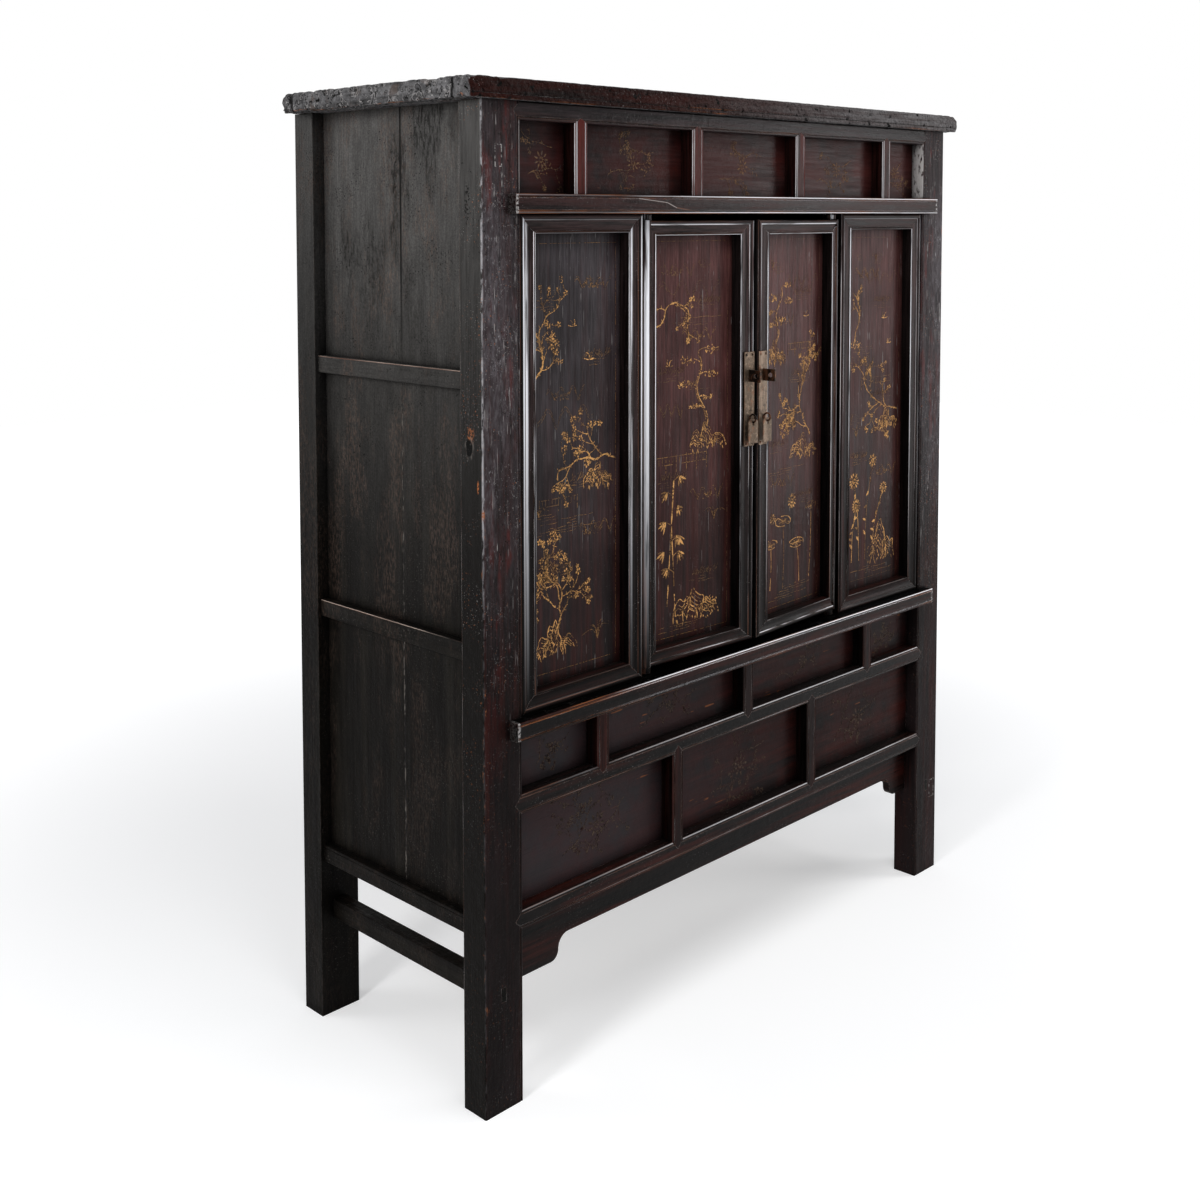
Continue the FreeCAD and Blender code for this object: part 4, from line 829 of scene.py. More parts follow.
def dress_all():
    dress(post_paint(), "post_front_left", "post_front_right")
    dress(rail_paint(), "head_rail", "middle_rail", "bottom_rail", "apron")
    dress(door_rail_paint(), "upper_door_rail", "lower_door_rail")
    dress(upright_paint(), "upper_uprights", "middle_uprights", "lower_uprights")
    dress(low_panel_paint(), "upper_panels", "middle_panels", "lower_panels")
    dress(stile_paint("first_stile_lacquer", first_stile_highlight_shares), "left_leaf_stiles")
    stile = stile_paint("stile_lacquer", stile_highlight_shares)
    hinge_stile = stile_paint("hinge_stile_lacquer", hinge_stile_highlight_shares)
    leaf_rail = leaf_rail_paint()
    tall_panel = tall_panel_paint()
    side_board = side_board_paint()
    side_rail = side_rail_paint()
    plate = old_brass("plate_brass", brass_olive, brass_brown, brass_rust, 0.38)
    black = old_brass("black_brass", brass_black, brass_rust, brass_olive, 0.32)
    for side in ("left_", "right_"):
        dress(hinge_stile, side + "door_hinge_stile")
        dress(stile, side + "door_meeting_stile")
        dress(leaf_rail, side + "leaf_rails", side + "door_rails")
        dress(tall_panel, side + "leaf_panel", side + "door_panel")
        dress(side_board, side + "side_panels")
        dress(side_rail, side + "side_rails")
        dress(plate, side + "lock_plate", side + "pull")
        dress(black, side + "lock_lug", side + "plate_fixings")
    dress(stile, "right_leaf_stiles")
    dress(side_upright_paint(), "post_back_left", "post_back_right")
    dress(side_rail, "stretchers")
    dress(top_paint("top_long_lacquer", along_x), "top_front_rail", "top_back_rail", "top_boards")
    dress(top_paint("top_end_lacquer", along_y), "top_ends")
    dress(softwood("softwood_long", along_x), "shelf_boards", "well_boards", "floor_boards",
          "left_door_battens", "right_door_battens")
    dress(softwood("softwood_deep", along_y), "top_battens", "floor_joists", "left_lid", "right_lid",
          "inner_bearers")
    dress(softwood("softwood_tall", along_z), "back_frame", "back_panels")


# The rough top, in metres and waves per metre. Depths are those at the full height of the noise.
top_nodes = ("top_front_rail", "top_back_rail", "top_ends")
cell = 0.004
least_wear = 0.0015
most_wear = 0.0125
wear_wave = 17
gouge_wave = 46
gouge_level = 0.12
gouge_depth = 0.0285
pit_wave = 90
pit_level = 0.15
pit_depth = 0.0032
rough_reach = 0.12
corner_round = 0.009
corner_reach = 0.05
under_share = 0.8
smooth_front_share = 0.22
fold_angle = math.radians(38)


def finely_cut(name):
    """A copy of a CAD node's mesh, cut into small cells."""
    form = bmesh.new()
    form.from_mesh(nodes[name].data)
    bmesh.ops.remove_doubles(form, verts=form.verts, dist=cell / 1000)
    low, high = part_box(name)
    for axis in range(3):
        across = Vector((axis == 0, axis == 1, axis == 2))
        reach = high[axis] - low[axis]
        count = math.ceil(reach / cell)
        uncut = form.verts[:] + form.edges[:] + form.faces[:]
        for k in range(1, count):
            point = Vector(low) + across * reach * k / count
            made = bmesh.ops.bisect_plane(form, geom=uncut, plane_co=point, plane_no=across)
            uncut = [item for item in made["geom"] if farthest(item, axis) > point[axis] + cell / 100]
    return form


def farthest(item, axis):
    """How far a vertex, edge or face reaches along an axis."""
    if isinstance(item, bmesh.types.BMVert):
        return item.co[axis]
    return max(vert.co[axis] for vert in item.verts)


def worn(point, low, high):
    """Where a point of the slab lies after long wear: arrises rounded unevenly, faces pitted."""
    end_gap = min(point.x - low.x, high.x - point.x)
    end_share = max(0, 1 - end_gap / rough_reach)
    roughness = smooth_front_share + (1 - smooth_front_share) * end_share
    if point.y > 0:
        roughness = 1
    swell = max(0, 0.5 + noise.noise(point * wear_wave))
    gouge = max(0, noise.noise(point * gouge_wave) - gouge_level)
    radius = least_wear + roughness * (most_wear * swell ** 2 + gouge_depth * gouge)
    corner_gap = end_gap + min(point.y - low.y, high.y - point.y)
    radius += corner_round * max(0, 1 - corner_gap / corner_reach)
    core = Vector((min(max(point.x, low.x + radius), high.x - radius),
                   min(max(point.y, low.y + radius), high.y - radius),
                   min(max(point.z, low.z + radius * under_share * end_share), high.z - radius)))
    out = point - core
    if out.length > radius:
        point = core + out * radius / out.length
    if out.length > radius * 0.5:
        pit = max(0, noise.noise(point * pit_wave) + pit_level)
        point = point - out.normalized() * pit_depth * roughness * pit
    return point


def wear_top():
    """Worn copies of the slab's outer members stand for their plain solids."""
    boxes = [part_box(name) for name in top_nodes]
    low = Vector([min(box[0][axis] for box in boxes) for axis in range(3)])
    high = Vector([max(box[1][axis] for box in boxes) for axis in range(3)])
    for name in top_nodes:
        form = finely_cut(name)
        for vert in form.verts:
            vert.co = worn(vert.co, low, high)
        mesh = bpy.data.meshes.new("worn_" + name)
        form.to_mesh(mesh)
        form.free()
        mesh.materials.append(nodes[name].data.materials[0])
        for face in mesh.polygons:
            face.use_smooth = True
        mesh.set_sharp_from_angle(angle=fold_angle)
        piece = put(mesh)
        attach(piece, "carcass")
        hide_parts(name)


# The panels that carry gilding, in metres
panel_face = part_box("left_leaf_panel")[0].y
door_pivot = Vector((0.310, -0.2307826, 0))
left_ajar = math.radians(2.7)
right_ajar = math.radians(3.7)
tall_low = 0.7595
tall_high = 1.5800
leaf_panel_edges = (0.3730, 0.6195)
door_panel_edges = (0.0445, 0.2920)
small_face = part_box("upper_panels")[0].y
small_rows = (((1.6587, 1.789), (-0.506, -0.172, 0.172, 0.506)), ((0.572, 0.6798), (-0.4472, 0, 0.4472)),
              ((0.357, 0.537), (-0.2282, 0.2282)))
post_inner = 0.6615

# Tones of gold, from the strongest to one that hardly shows
bright = 0
dull = 1
faint = 2
ghost = 3
thin_share = 0.38
gap_share = 0.09
stroke_shares = (0.14, 0.54)

# Strokes, in metres: a pair is the width at the start and at the end, or the least and the most
gold_lift = 0.00015
stroke_lift = 0.000004
lift_steps = 50
leaf_lengths = (0.0035, 0.0075)
leaf_widths = (0.0014, 0.0026)
branch_step = 0.011
thorn_lengths = (0.003, 0.008)
thorn_width = 0.0012
blade_widths = (0.0020, 0.0006)
bamboo_joint = 0.030
bamboo_twig = (0.016, 0.009)
bamboo_leaf_lengths = (0.018, 0.030)
bamboo_leaf_width = 0.0046
rock_shares = ((0.0, 0.50, 0.70), (0.22, 0.46, 1.0), (0.52, 0.48, 0.55))
rock_widths = (0.0018, 0.0030)
rock_shade_widths = (0.0024, 0.0010)
rock_chip_lengths = (0.006, 0.013)
rock_chip_width = 0.0022
hill_widths = (0.0012, 0.0010)
hatch_widths = (0.0012, 0.0007)
ripple_widths = (0.0012, 0.0008)
ripple_rise = 0.0050
ripple_wave = 0.0009
bar_width = 0.0017
rail_post_width = 0.0022
baluster_width = 0.0011
wisp_widths = (0.0014, 0.0009)
stem_widths = (0.0022, 0.0014)
stem_leaf_length = 0.016
stem_leaf_width = 0.0060
stem_leaf_shares = (0.25, 0.4, 0.55, 0.7, 0.85)
lotus_stem_widths = (0.0017, 0.0012)
lotus_rim_widths = (0.0026, 0.0016)
lotus_vein_widths = (0.0008, 0.0015)
border_inset = 0.011
border_width = 0.0009

# Each spray's two branches: where they start and how long they are, and their angle, width and bloom
spray_shares = ((0.30, 0.28, 0.75), (0.70, 0.66, 0.65))
spray_branches = ((0.5, 0.0024, 0.0050), (3.3, 0.0022, 0.0048))


def heading(angle):
    return Vector((math.cos(angle), math.sin(angle)))


def smooth(points, steps=5):
    """Points of an even curve through the given ones."""
    ends = [points[0], *points, points[-1]]
    made = []
    for before, here, after, beyond in zip(ends, ends[1:], ends[2:], ends[3:]):
        for step in range(steps):
            t = step / steps
            square = (before * 2 - here * 5 + after * 4 - beyond) * t ** 2
            cube = (here * 3 - before - after * 3 + beyond) * t ** 3
            made.append((here * 2 + (after - before) * t + square + cube) / 2)
    return [*made, points[-1]]


class Brush:
    """Draws flat gold strokes on one panel, in metres from its lower left corner."""

    def __init__(self, seed, width, height):
        self.chance = random.Random(seed)
        self.width = width
        self.height = height
        self.points = []
        self.faces = []
        self.tones = []
        self.tone = bright
        self.strokes = 0

    def draw(self, tone, motifs, corner=Vector((0, 0))):
        """Draws motifs in one tone, each row a motif, its foot and its sizes."""
        self.tone = tone
        for motif, foot, *sizes in motifs:
            motif(self, corner + Vector(foot), *sizes)

    def at(self, low, high):
        return self.chance.uniform(low, high)

    def face(self, corners, tone):
        """One flat patch of gold, left out where it would run under the frame."""
        if not all(0 < p.x < self.width and 0 < p.y < self.height for p in corners):
            return
        first = len(self.points)
        lift = gold_lift + stroke_lift * (self.strokes % lift_steps)
        self.points.extend((corner, lift) for corner in corners)
        self.faces.append(tuple(range(first, len(self.points))))
        self.tones.append(tone)

    def shade(self):
        """The tone of the next stroke: now and then the paint is thinner."""
        self.strokes += 1
        if self.chance.random() < thin_share:
            return max(self.tone, min(self.tone + 1, faint))
        return self.tone

    def stroke(self, line, start, end):
        """A stroke that goes from one width to another, uneven and broken here and there."""
        tone = self.shade()
        last = len(line) - 1
        edges = []
        for i, point in enumerate(line):
            ahead = line[min(i + 1, last)] - line[max(i - 1, 0)]
            across = Vector((-ahead.y, ahead.x)).normalized()
            half = (start + (end - start) * i / last) * self.at(*stroke_shares)
            edges.append((point + across * half, point - across * half))
        for (a, b), (c, d) in zip(edges, edges[1:]):
            if self.chance.random() > gap_share:
                self.face((a, b, d, c), tone)

    def curve(self, points, start, end):
        self.stroke(smooth(points), start, end)

    def dab(self, foot, angle, length, width):
        """One leaf or petal, pointed at both ends."""
        tone = self.shade()
        ahead = heading(angle)
        across = Vector((-ahead.y, ahead.x)) * width / 2
        near = foot + ahead * length * 0.35
        far = foot + ahead * length * 0.7
        self.face((foot, near + across, far + across * 0.8, foot + ahead * length,
                   far - across * 0.8, near - across), tone)

    def blossom(self, centre, size):
        turn = self.at(0, 2)
        for petal in range(5):
            angle = turn + petal * math.tau / 5
            self.dab(centre + heading(angle) * size * 0.3, angle, size * 0.8, size * 0.6)

    def tuft(self, centre, width, height, count):
        """Leaves: short dabs spread over a flat oval."""
        for dab in range(count):
            angle = self.at(0, math.tau)
            reach = math.sqrt(self.chance.random()) / 2
            place = centre + Vector((math.cos(angle) * width, math.sin(angle) * height)) * reach
            self.dab(place, self.at(0.3, 2.8), self.at(*leaf_lengths), self.at(*leaf_widths))

    def flower(self, centre, size, petals):
        """A round flower of many thin petals in two rows."""
        for petal in range(petals):
            angle = petal * math.tau / petals
            out = heading(angle) * size
            self.dab(centre + out * 0.45, angle, size * 0.6, size * 0.22)
            self.dab(centre + out * 0.12, angle + 0.2, size * 0.3, size * 0.12)

    def stem(self, foot, lean, tall, size):
        """A chrysanthemum on a leaning stem with leaves."""
        top = foot + Vector((lean, tall))
        self.curve((foot, foot + Vector((lean * 0.2, tall * 0.5)), top), *stem_widths)
        for k in stem_leaf_shares:
            place = foot + Vector((lean * k * k, tall * k))
            self.dab(place, 1.2 + k * 4, stem_leaf_length, stem_leaf_width)
        self.flower(top, size, 14)

    def branch(self, foot, angle, length, width, twigs, bloom):
        """A crooked branch that forks, with blossoms at its ends."""
        count = max(3, int(length / branch_step))
        point = foot
        line = [point]
        for i in range(count):
            angle += self.at(-0.55, 0.55)
            point = point + heading(angle) * length / count
            line.append(point)
            for thorn in range(2):
                self.dab(point, angle + self.at(-1.6, 1.6), self.at(*thorn_lengths), thorn_width)
            if twigs and i and self.chance.random() < 0.55:
                side = self.chance.choice((-1, 1))
                self.branch(point, angle + side * self.at(0.5, 1.1), length * self.at(0.3, 0.55),
                            width * 0.5, twigs - 1, bloom)
        self.stroke(smooth(line, 3), width, width * 0.35)
        if twigs > 1:
            knots = [p + Vector((self.at(-1, 1), self.at(-1, 1))) * width * 0.4 for p in line]
            self.stroke(smooth(knots, 2), width * 0.5, width * 0.3)
        if twigs < 2:
            self.blossom(point, bloom * self.at(0.7, 1.2))

    def pine(self, foot, height, lean, width):
        """An old pine: a crooked trunk with scaly bark and flat clouds of needles."""
        line = [foot]
        for i in range(1, 8):
            sway = math.sin(i * 1.3) * height * 0.07
            line.append(foot + Vector((lean * i / 7 + sway, height * i / 7)))
        trunk = smooth(line, 4)
        for side in (-0.5, 0.5):
            bark = [p + Vector((side * width * (1 - 0.6 * i / len(trunk)), 0)) for i, p in enumerate(trunk)]
            self.stroke(bark, width * 0.45, width * 0.25)
        half = Vector((width * 0.45, -width * 0.25))
        for i in range(1, len(trunk) - 2, 2):
            self.stroke([trunk[i] - half, trunk[i], trunk[i] + half], width * 0.3, width * 0.15)
        for i in range(2, 8):
            side = 1 if i % 2 else -1
            reach = height * self.at(0.16, 0.30)
            tip = line[i] + Vector((side * reach, self.at(-0.2, 0.3) * reach))
            middle = (line[i] + tip) / 2 + Vector((0, reach * 0.15))
            self.curve((line[i], middle, tip), width * 0.5, width * 0.25)
            self.tuft(tip, reach * 1.1, reach * 0.45, 26)

    def orchid(self, foot, blades, reach):
        """A fan of long bending leaves."""
        for blade in range(blades):
            lean = (blade / (blades - 1) - 0.5) * 2
            tall = reach * self.at(0.6, 1.0)
            bend = Vector((lean * reach * 0.35, tall * 0.7))
            tip = Vector((lean * reach, tall * (1 - 0.55 * abs(lean))))
            self.curve((foot, foot + bend, foot + tip), *blade_widths)

    def bamboo(self, foot, height, lean, width):
        """A jointed stem with leaves in threes and fours."""
        joints = int(height / bamboo_joint)
        for joint in range(joints):
            low = foot + Vector((lean * joint, height * joint)) / joints
            high = foot + Vector((lean * (joint + 0.93), height * (joint + 0.93))) / joints
            self.stroke([low, (low + high) / 2, high], width, width)
            if joint > joints * 0.25:
                side = self.chance.choice((-1, 1))
                knot = high + Vector((side * bamboo_twig[0], bamboo_twig[1]))
                self.stroke([high, knot], width * 0.4, width * 0.3)
                for leaf in (-0.8, -0.4, 0, 0.4):
                    angle = -math.pi / 2 + side * 0.7 + leaf
                    self.dab(knot, angle, self.at(*bamboo_leaf_lengths), bamboo_leaf_width)

    def rock(self, foot, width, height):
        """A craggy rock of several humps, each with close curved strokes down its shady side."""
        for across, wide_share, high_share in rock_shares:
            left = foot + Vector((width * across, 0))
            wide = width * wide_share
            high = height * high_share
            hump = []
            for i in range(12):
                angle = math.pi * (1 - i / 11)
                swell = self.at(0.80, 1.15)
                along = 0.5 + math.cos(angle) * 0.5 * swell
                hump.append(Vector((wide * along, high * math.sin(angle) * swell)))
            self.stroke([left + p for p in smooth(hump, 3)], *rock_widths)
            for ring in range(1, 6):
                inner = [left + Vector((p.x * (1 - ring * 0.07), p.y * (1 - ring * 0.13))) for p in hump]
                first = 3 + self.chance.randrange(3)
                last = 11 - self.chance.randrange(3)
                self.stroke(smooth(inner[first:last], 3), *rock_shade_widths)
            for chip in range(7):
                place = left + Vector((wide * self.at(0.1, 0.9), high * self.at(0.0, 0.5)))
                self.dab(place, self.at(-2.2, -0.9), self.at(*rock_chip_lengths), rock_chip_width)

    def hills(self, foot, width, height):
        """Far hills, in two thin lines."""
        for drop in (0, 0.18):
            line = [foot + Vector((width * i / 12, height * (abs(math.sin(i * 0.85 + width * 40)) - drop)))
                    for i in range(13)]
            self.stroke(smooth(line, 3), *hill_widths)

    def hatching(self, foot, width, height, lean, count):
        """Close thin strokes side by side, as on a bank."""
        for k in range(count):
            low = foot + Vector((width * (k + self.at(0, 0.6)) / count, height * self.at(0, 0.25)))
            high = low + Vector((lean, height * self.at(0.5, 0.75)))
            self.stroke([low, (low + high) / 2 + Vector((lean * 0.2, 0)), high], *hatch_widths)

    def ripples(self, foot, width, rows):
        """Thin level lines of water."""
        for row in range(rows):
            left = self.at(0, 0.45) * width
            right = self.at(0.5, 1) * width
            line = [foot + Vector((left + (right - left) * i / 8,
                                   row * ripple_rise + ripple_wave * math.sin(i * 1.7))) for i in range(9)]
            self.stroke(line, *ripple_widths)

    def railing(self, foot, width, height, posts):
        """A garden railing: two level bars, posts and short balusters."""
        for high in (0.45, 0.9):
            bar = [foot + Vector((width * k / 6, height * high)) for k in range(7)]
            self.stroke(bar, bar_width, bar_width)
        for post in range(posts):
            stand = foot + Vector((width * post / (posts - 1), 0))
            self.stroke([stand, stand + Vector((0, height))], rail_post_width, rail_post_width)
            if post < posts - 1:
                for k in (0.33, 0.66):
                    low = stand + Vector((width * k / (posts - 1), height * 0.45))
                    self.stroke([low, low + Vector((0, height * 0.45))], baluster_width, baluster_width)

    def wisp(self, centre, size):
        """A curled cloud with a trailing tail."""
        for turn, reach in ((0, 1.0), (2.2, 0.7)):
            line = []
            for i in range(16):
                angle = turn + i * 0.42
                curl = Vector((math.cos(angle) * 1.3 + i * 0.12, math.sin(angle)))
                line.append(centre + curl * size * reach * (0.25 + i / 22))
            self.stroke(line, *wisp_widths)

    def bird(self, centre, size, facing):
        """A small bird on the wing."""
        out = Vector((facing * size, 0))
        up = Vector((0, size))
        self.curve((centre - out * 0.9 + up * 0.1, centre - out * 0.2 - up * 0.06,
                    centre + out * 0.6 + up * 0.05), size * 0.12, size * 0.2)
        self.curve((centre, centre - out * 0.2 + up * 0.5, centre - out * 0.65 + up * 0.75),
                   size * 0.22, size * 0.05)
        self.curve((centre + out * 0.1, centre + out * 0.3 + up * 0.4, centre + out * 0.2 + up * 0.8),
                   size * 0.2, size * 0.05)

    def lotus(self, foot, height, size):
        """A wide veined leaf on a thin bent stem."""
        top = foot + Vector((size * self.at(-0.4, 0.4), height))
        self.curve((foot, (foot + top) / 2 + Vector((size * 0.12, 0)), top), *lotus_stem_widths)
        rim = [top + Vector((math.cos(k * 0.45) * size * self.at(0.9, 1.1),
                             math.sin(k * 0.45) * size * 0.38)) for k in range(15)]
        self.stroke(rim, *lotus_rim_widths)
        for end in rim[:-1]:
            self.stroke([top, top + (end - top) * self.at(0.6, 0.95)], *lotus_vein_widths)

    def scenery(self, places):
        """Distant banks, hills and grass at these places, hardly to be seen."""
        for x_share, y_share, kind in places:
            tone = self.chance.choice((dull, faint))
            self.draw(tone, kind, Vector((self.width * x_share, self.height * y_share)))

    def border(self):
        """A thin line around the whole panel."""
        right = self.width - border_inset
        top = self.height - border_inset
        corners = [Vector((border_inset, border_inset)), Vector((right, border_inset)), Vector((right, top)),
                   Vector((border_inset, top))]
        for a, b in zip(corners, [*corners[1:], corners[0]]):
            self.stroke([a + (b - a) * i / 60 for i in range(61)], border_width, border_width)

    def spray(self):
        """A spray of flowers that fills a small panel."""
        for (x_share, y_share, length_share), (angle, width, bloom) in zip(spray_shares, spray_branches):
            foot = Vector((self.width * x_share, self.height * y_share))
            self.branch(foot, angle, self.height * length_share, width, 2, bloom)
        self.flower(Vector((self.width * 0.52, self.height * 0.48)), self.height * 0.13, 9)
        self.orchid(Vector((self.width * 0.46, self.height * 0.20)), 5, self.height * 0.2)
        self.tuft(Vector((self.width * 0.62, self.height * 0.36)), self.height * 0.3, self.height * 0.2, 12)


# Distant scenery: a hatched bank, hills with trees, and grass, each over its own foot, in metres
bank = ((Brush.hatching, (0, 0), 0.075, 0.020, 0.006, 24), (Brush.ripples, (-0.01, -0.012), 0.10, 3))
hill = ((Brush.hills, (0, 0), 0.10, 0.026), (Brush.tuft, (0.04, 0.006), 0.070, 0.014, 22))
grass = ((Brush.orchid, (0, 0), 6, 0.026), (Brush.ripples, (-0.025, -0.006), 0.08, 3))
scenery_shares = (
    ((0.10, 0.24, bank), (0.55, 0.31, hill), (0.12, 0.37, grass), (0.45, 0.44, bank), (0.20, 0.63, hill),
     (0.58, 0.72, bank), (0.16, 0.84, grass), (0.50, 0.88, hill)),
    ((0.52, 0.15, bank), (0.50, 0.34, hill), (0.14, 0.40, bank), (0.52, 0.62, grass), (0.12, 0.66, bank),
     (0.40, 0.74, hill), (0.55, 0.83, bank), (0.15, 0.90, hill)),
    ((0.16, 0.33, hill), (0.55, 0.29, bank), (0.14, 0.44, bank), (0.55, 0.52, grass), (0.50, 0.62, bank),
     (0.15, 0.76, hill), (0.52, 0.84, bank), (0.20, 0.91, grass)),
    ((0.12, 0.36, bank), (0.52, 0.30, hill), (0.16, 0.47, grass), (0.50, 0.53, bank), (0.14, 0.62, hill),
     (0.50, 0.80, bank), (0.20, 0.87, hill), (0.55, 0.92, grass)))

# The four tall pictures by tone. Each row is a motif, its foot and its sizes, in metres.
plum_picture = {
    bright: (
        (Brush.rock, (0.020, 0.045), 0.105, 0.055),
        (Brush.branch, (0.070, 0.085), 1.1, 0.15, 0.0060, 3, 0.0058),
        (Brush.tuft, (0.045, 0.048), 0.060, 0.016, 30),
        (Brush.branch, (0.232, 0.395), 2.7, 0.16, 0.0055, 3, 0.0058),
        (Brush.rock, (0.145, 0.345), 0.085, 0.045),
        (Brush.branch, (0.020, 0.560), 0.5, 0.14, 0.0048, 2, 0.0055),
        (Brush.bird, (0.165, 0.590), 0.018, 1),
        (Brush.bird, (0.120, 0.655), 0.015, 1)),
    dull: (
        (Brush.orchid, (0.185, 0.050), 7, 0.045),
        (Brush.ripples, (0.020, 0.270), 0.19, 6),
        (Brush.wisp, (0.055, 0.715), 0.014)),
    faint: (
        (Brush.hills, (0.025, 0.470), 0.15, 0.035),
        (Brush.railing, (0.030, 0.310), 0.10, 0.028, 5),
        (Brush.wisp, (0.160, 0.735), 0.012))}
bamboo_picture = {
    bright: (
        (Brush.bamboo, (0.055, 0.060), 0.27, 0.020, 0.0040),
        (Brush.bamboo, (0.080, 0.050), 0.19, -0.012, 0.0032),
        (Brush.rock, (0.075, 0.035), 0.135, 0.070),
        (Brush.tuft, (0.175, 0.060), 0.070, 0.025, 36),
        (Brush.pine, (0.165, 0.420), 0.165, -0.025, 0.0070),
        (Brush.rock, (0.120, 0.385), 0.110, 0.050),
        (Brush.branch, (0.020, 0.640), 0.2, 0.12, 0.0045, 2, 0.0055),
        (Brush.bird, (0.060, 0.560), 0.017, -1)),
    dull: (
        (Brush.railing, (0.022, 0.345), 0.15, 0.036, 6),
        (Brush.ripples, (0.025, 0.022), 0.19, 3),
        (Brush.orchid, (0.195, 0.235), 6, 0.036),
        (Brush.ripples, (0.060, 0.640), 0.16, 4)),
    faint: (
        (Brush.hills, (0.030, 0.690), 0.18, 0.040),
        (Brush.hills, (0.020, 0.455), 0.08, 0.030),
        (Brush.wisp, (0.150, 0.765), 0.012))}
lotus_picture = {
    bright: (
        (Brush.lotus, (0.045, 0.050), 0.10, 0.026),
        (Brush.lotus, (0.095, 0.045), 0.15, 0.030),
        (Brush.lotus, (0.160, 0.050), 0.09, 0.028),
        (Brush.lotus, (0.200, 0.055), 0.16, 0.022),
        (Brush.flower, (0.130, 0.235), 0.017, 12),
        (Brush.flower, (0.055, 0.205), 0.012, 10),
        (Brush.rock, (0.120, 0.330), 0.105, 0.050),
        (Brush.branch, (0.200, 0.375), 1.9, 0.15, 0.0055, 3, 0.0052),
        (Brush.rock, (0.020, 0.545), 0.080, 0.045),
        (Brush.pine, (0.060, 0.585), 0.120, 0.020, 0.0060),
        (Brush.bird, (0.180, 0.640), 0.016, -1)),
    dull: (
        (Brush.ripples, (0.020, 0.025), 0.20, 6),
        (Brush.ripples, (0.025, 0.300), 0.17, 4),
        (Brush.railing, (0.110, 0.555), 0.11, 0.030, 5),
        (Brush.tuft, (0.065, 0.550), 0.070, 0.012, 24)),
    faint: (
        (Brush.hills, (0.110, 0.700), 0.12, 0.032),
        (Brush.wisp, (0.060, 0.745), 0.012))}
chrysanthemum_picture = {
    bright: (
        (Brush.rock, (0.110, 0.045), 0.115, 0.090),
        (Brush.stem, (0.045, 0.055), 0.018, 0.13, 0.017),
        (Brush.stem, (0.075, 0.055), -0.022, 0.19, 0.020),
        (Brush.stem, (0.100, 0.055), 0.030, 0.23, 0.016),
        (Brush.stem, (0.130, 0.055), 0.045, 0.16, 0.015),
        (Brush.branch, (0.230, 0.400), 2.5, 0.15, 0.0055, 3, 0.0055),
        (Brush.rock, (0.150, 0.360), 0.080, 0.042),
        (Brush.branch, (0.045, 0.560), 1.1, 0.13, 0.0050, 3, 0.0050),
        (Brush.tuft, (0.050, 0.560), 0.060, 0.018, 28),
        (Brush.bird, (0.170, 0.620), 0.017, -1),
        (Brush.bird, (0.190, 0.560), 0.013, -1)),
    dull: (
        (Brush.ripples, (0.025, 0.022), 0.19, 4),
        (Brush.orchid, (0.060, 0.345), 6, 0.040),
        (Brush.ripples, (0.030, 0.540), 0.12, 4)),
    faint: (
        (Brush.railing, (0.080, 0.455), 0.12, 0.030, 5),
        (Brush.hills, (0.100, 0.700), 0.13, 0.030),
        (Brush.wisp, (0.060, 0.765), 0.011))}
pictures = ((3, plum_picture), (8, bamboo_picture), (5, lotus_picture), (12, chrysanthemum_picture))
spray_seed = 40


def gild(brush, name, body, corner, tones, turn=None):
    """Lays the brush's strokes on a panel whose lower left corner is given."""
    points = [corner + Vector((p.x, -lift, p.y)) for p, lift in brush.points]
    if turn:
        points = [turn @ p for p in points]
    mesh = bpy.data.meshes.new(name)
    mesh.from_pydata(points, [], brush.faces)
    for tone in tones:
        mesh.materials.append(tone)
    for face, tone in zip(mesh.polygons, brush.tones):
        face.material_index = tone
    piece = put(mesh)
    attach(piece, body)


def gild_tall_panels(tones):
    near, far = leaf_panel_edges
    shut_near, shut_far = door_panel_edges
    brushes = []
    for (seed, picture), places in zip(pictures, scenery_shares):
        brush = Brush(seed, far - near, tall_high - tall_low)
        for tone, motifs in picture.items():
            brush.draw(tone, motifs)
        brush.scenery(places)
        brush.tone = dull
        brush.border()
        brushes.append(brush)
    gild(brushes[0], "left_leaf_gilding", "carcass", Vector((-far, panel_face, tall_low)), tones)
    gild(brushes[3], "right_leaf_gilding", "carcass", Vector((near, panel_face, tall_low)), tones)
    for name, brush, edge, side, ajar in (("left", brushes[1], -shut_far, -1, -left_ajar),
                                          ("right", brushes[2], shut_near, 1, right_ajar)):
        pivot = Vector((door_pivot.x * side, door_pivot.y, 0))
        turn = Matrix.Translation(pivot) @ Matrix.Rotation(ajar, 4, "Z") @ Matrix.Translation(-pivot)
        corner = Vector((edge, panel_face, tall_low))
        gild(brush, name + "_door_gilding", name + "_door", corner, tones, turn)


def gild_small_panels(tones):
    """Faint sprays between the uprights of the three rows, hardly to be seen in the lower two."""
    panel = 0
    for (low, high), middles in small_rows:
        edges = [-post_inner, *middles, post_inner]
        for left, right in zip(edges, edges[1:]):
            panel += 1
            brush = Brush(spray_seed + panel, right - left, high - low)
            brush.tone = faint if low > tall_high else ghost
            brush.spray()
            gild(brush, "small_gilding_" + str(panel), "carcass", Vector((left, small_face, low)), tones)


def gild_all():
    tones = [gold("gold_bright", gold_bright, 0.38), gold("gold_dull", gold_dull, 0.42),
             gold("gold_faint", gold_faint, 0.42), gold("gold_ghost", gold_ghost, 0.42)]
    gild_tall_panels(tones)
    gild_small_panels(tones)


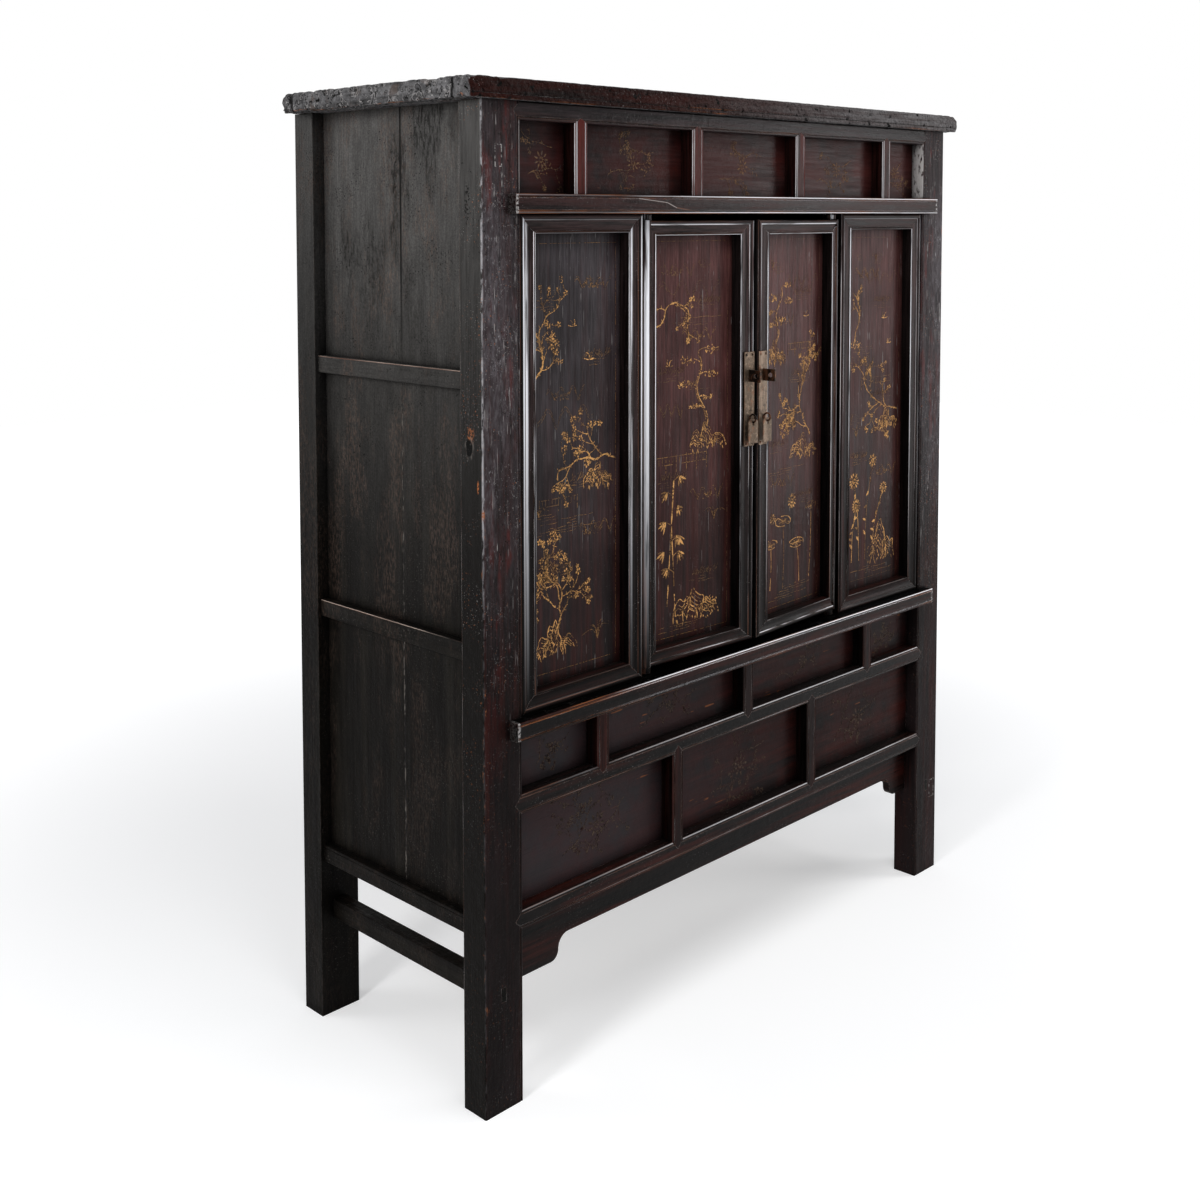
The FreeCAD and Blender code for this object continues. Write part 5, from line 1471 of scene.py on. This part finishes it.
def make_floor():
    """A pale floor that shows white and keeps the shadow."""
    mesh = bpy.data.meshes.new("floor")
    half = floor_half
    corners = [(-half, -half, 0), (half, -half, 0), (half, half, 0), (-half, half, 0)]
    mesh.from_pydata(corners, [], [(0, 1, 2, 3)])
    material, tree, surface = new_surface("pale_floor")
    place = add(tree, "TexCoord", {}).outputs["Object"]
    reach = add(tree, "VectorMath", {0: place}, operation="LENGTH").outputs["Value"]
    glow = share(tree, reach, *floor_glow_reach, floor_glow, 1.0)
    plug(tree, surface, {"Base Color": floor_colour, "Roughness": 0.9, "Specular IOR Level": 0.0,
                         "Emission Color": white, "Emission Strength": seen_share(tree, glow)})
    mesh.materials.append(material)
    floor = put(mesh)


def seen_share(tree, amount):
    """The amount for rays that see the background, and nothing for those that light the object."""
    path = add(tree, "LightPath", {}).outputs
    seen = maths(tree, "MAXIMUM", path["Is Camera Ray"], path["Is Glossy Ray"])
    seen = maths(tree, "MAXIMUM", seen, path["Is Transmission Ray"])
    return maths(tree, "MULTIPLY", seen, amount)


def make_world():
    world = bpy.data.worlds.new("studio")
    world.use_nodes = True
    tree = world.node_tree
    plug(tree, tree.nodes["Background"], {"Color": mixed(tree, seen_share(tree, 1.0), world_fill, white)})
    bpy.context.scene.world = world


def make_lamp(name, place, target, width, height, power):
    """A soft box that faces the target."""
    data = bpy.data.lights.new(name, "AREA")
    data.shape = "RECTANGLE"
    data.size = width
    data.size_y = height
    data.energy = power
    lamp = put(data)
    lamp.location = place
    lamp.rotation_euler = (Vector(target) - Vector(place)).to_track_quat("-Z", "Y").to_euler()


def make_camera():
    """The photograph's camera: turned from +Y towards +X, dipped and slightly rolled."""
    turn = math.radians(camera_turn)
    dip = math.radians(camera_dip)
    roll = math.radians(camera_roll)
    ahead = Vector((math.sin(turn) * math.cos(dip), math.cos(turn) * math.cos(dip), -math.sin(dip)))
    level = Vector((math.cos(turn), -math.sin(turn), 0))
    above = level.cross(ahead)
    right = level * math.cos(roll) + above * math.sin(roll)
    up = above * math.cos(roll) - level * math.sin(roll)
    data = bpy.data.cameras.new("camera")
    data.sensor_width = camera_sensor
    data.lens = camera_lens
    data.shift_x = camera_shift_x
    data.shift_y = camera_shift_y
    camera = put(data)
    axes = Matrix((right, up, -ahead)).transposed().to_4x4()
    camera.matrix_world = Matrix.Translation(camera_place) @ axes
    bpy.context.scene.camera = camera


dress_all()
wear_top()
gild_all()
make_floor()
make_world()
for lamp in lamps:
    make_lamp(*lamp)
make_camera()
bpy.context.scene.view_settings.view_transform = "Standard"
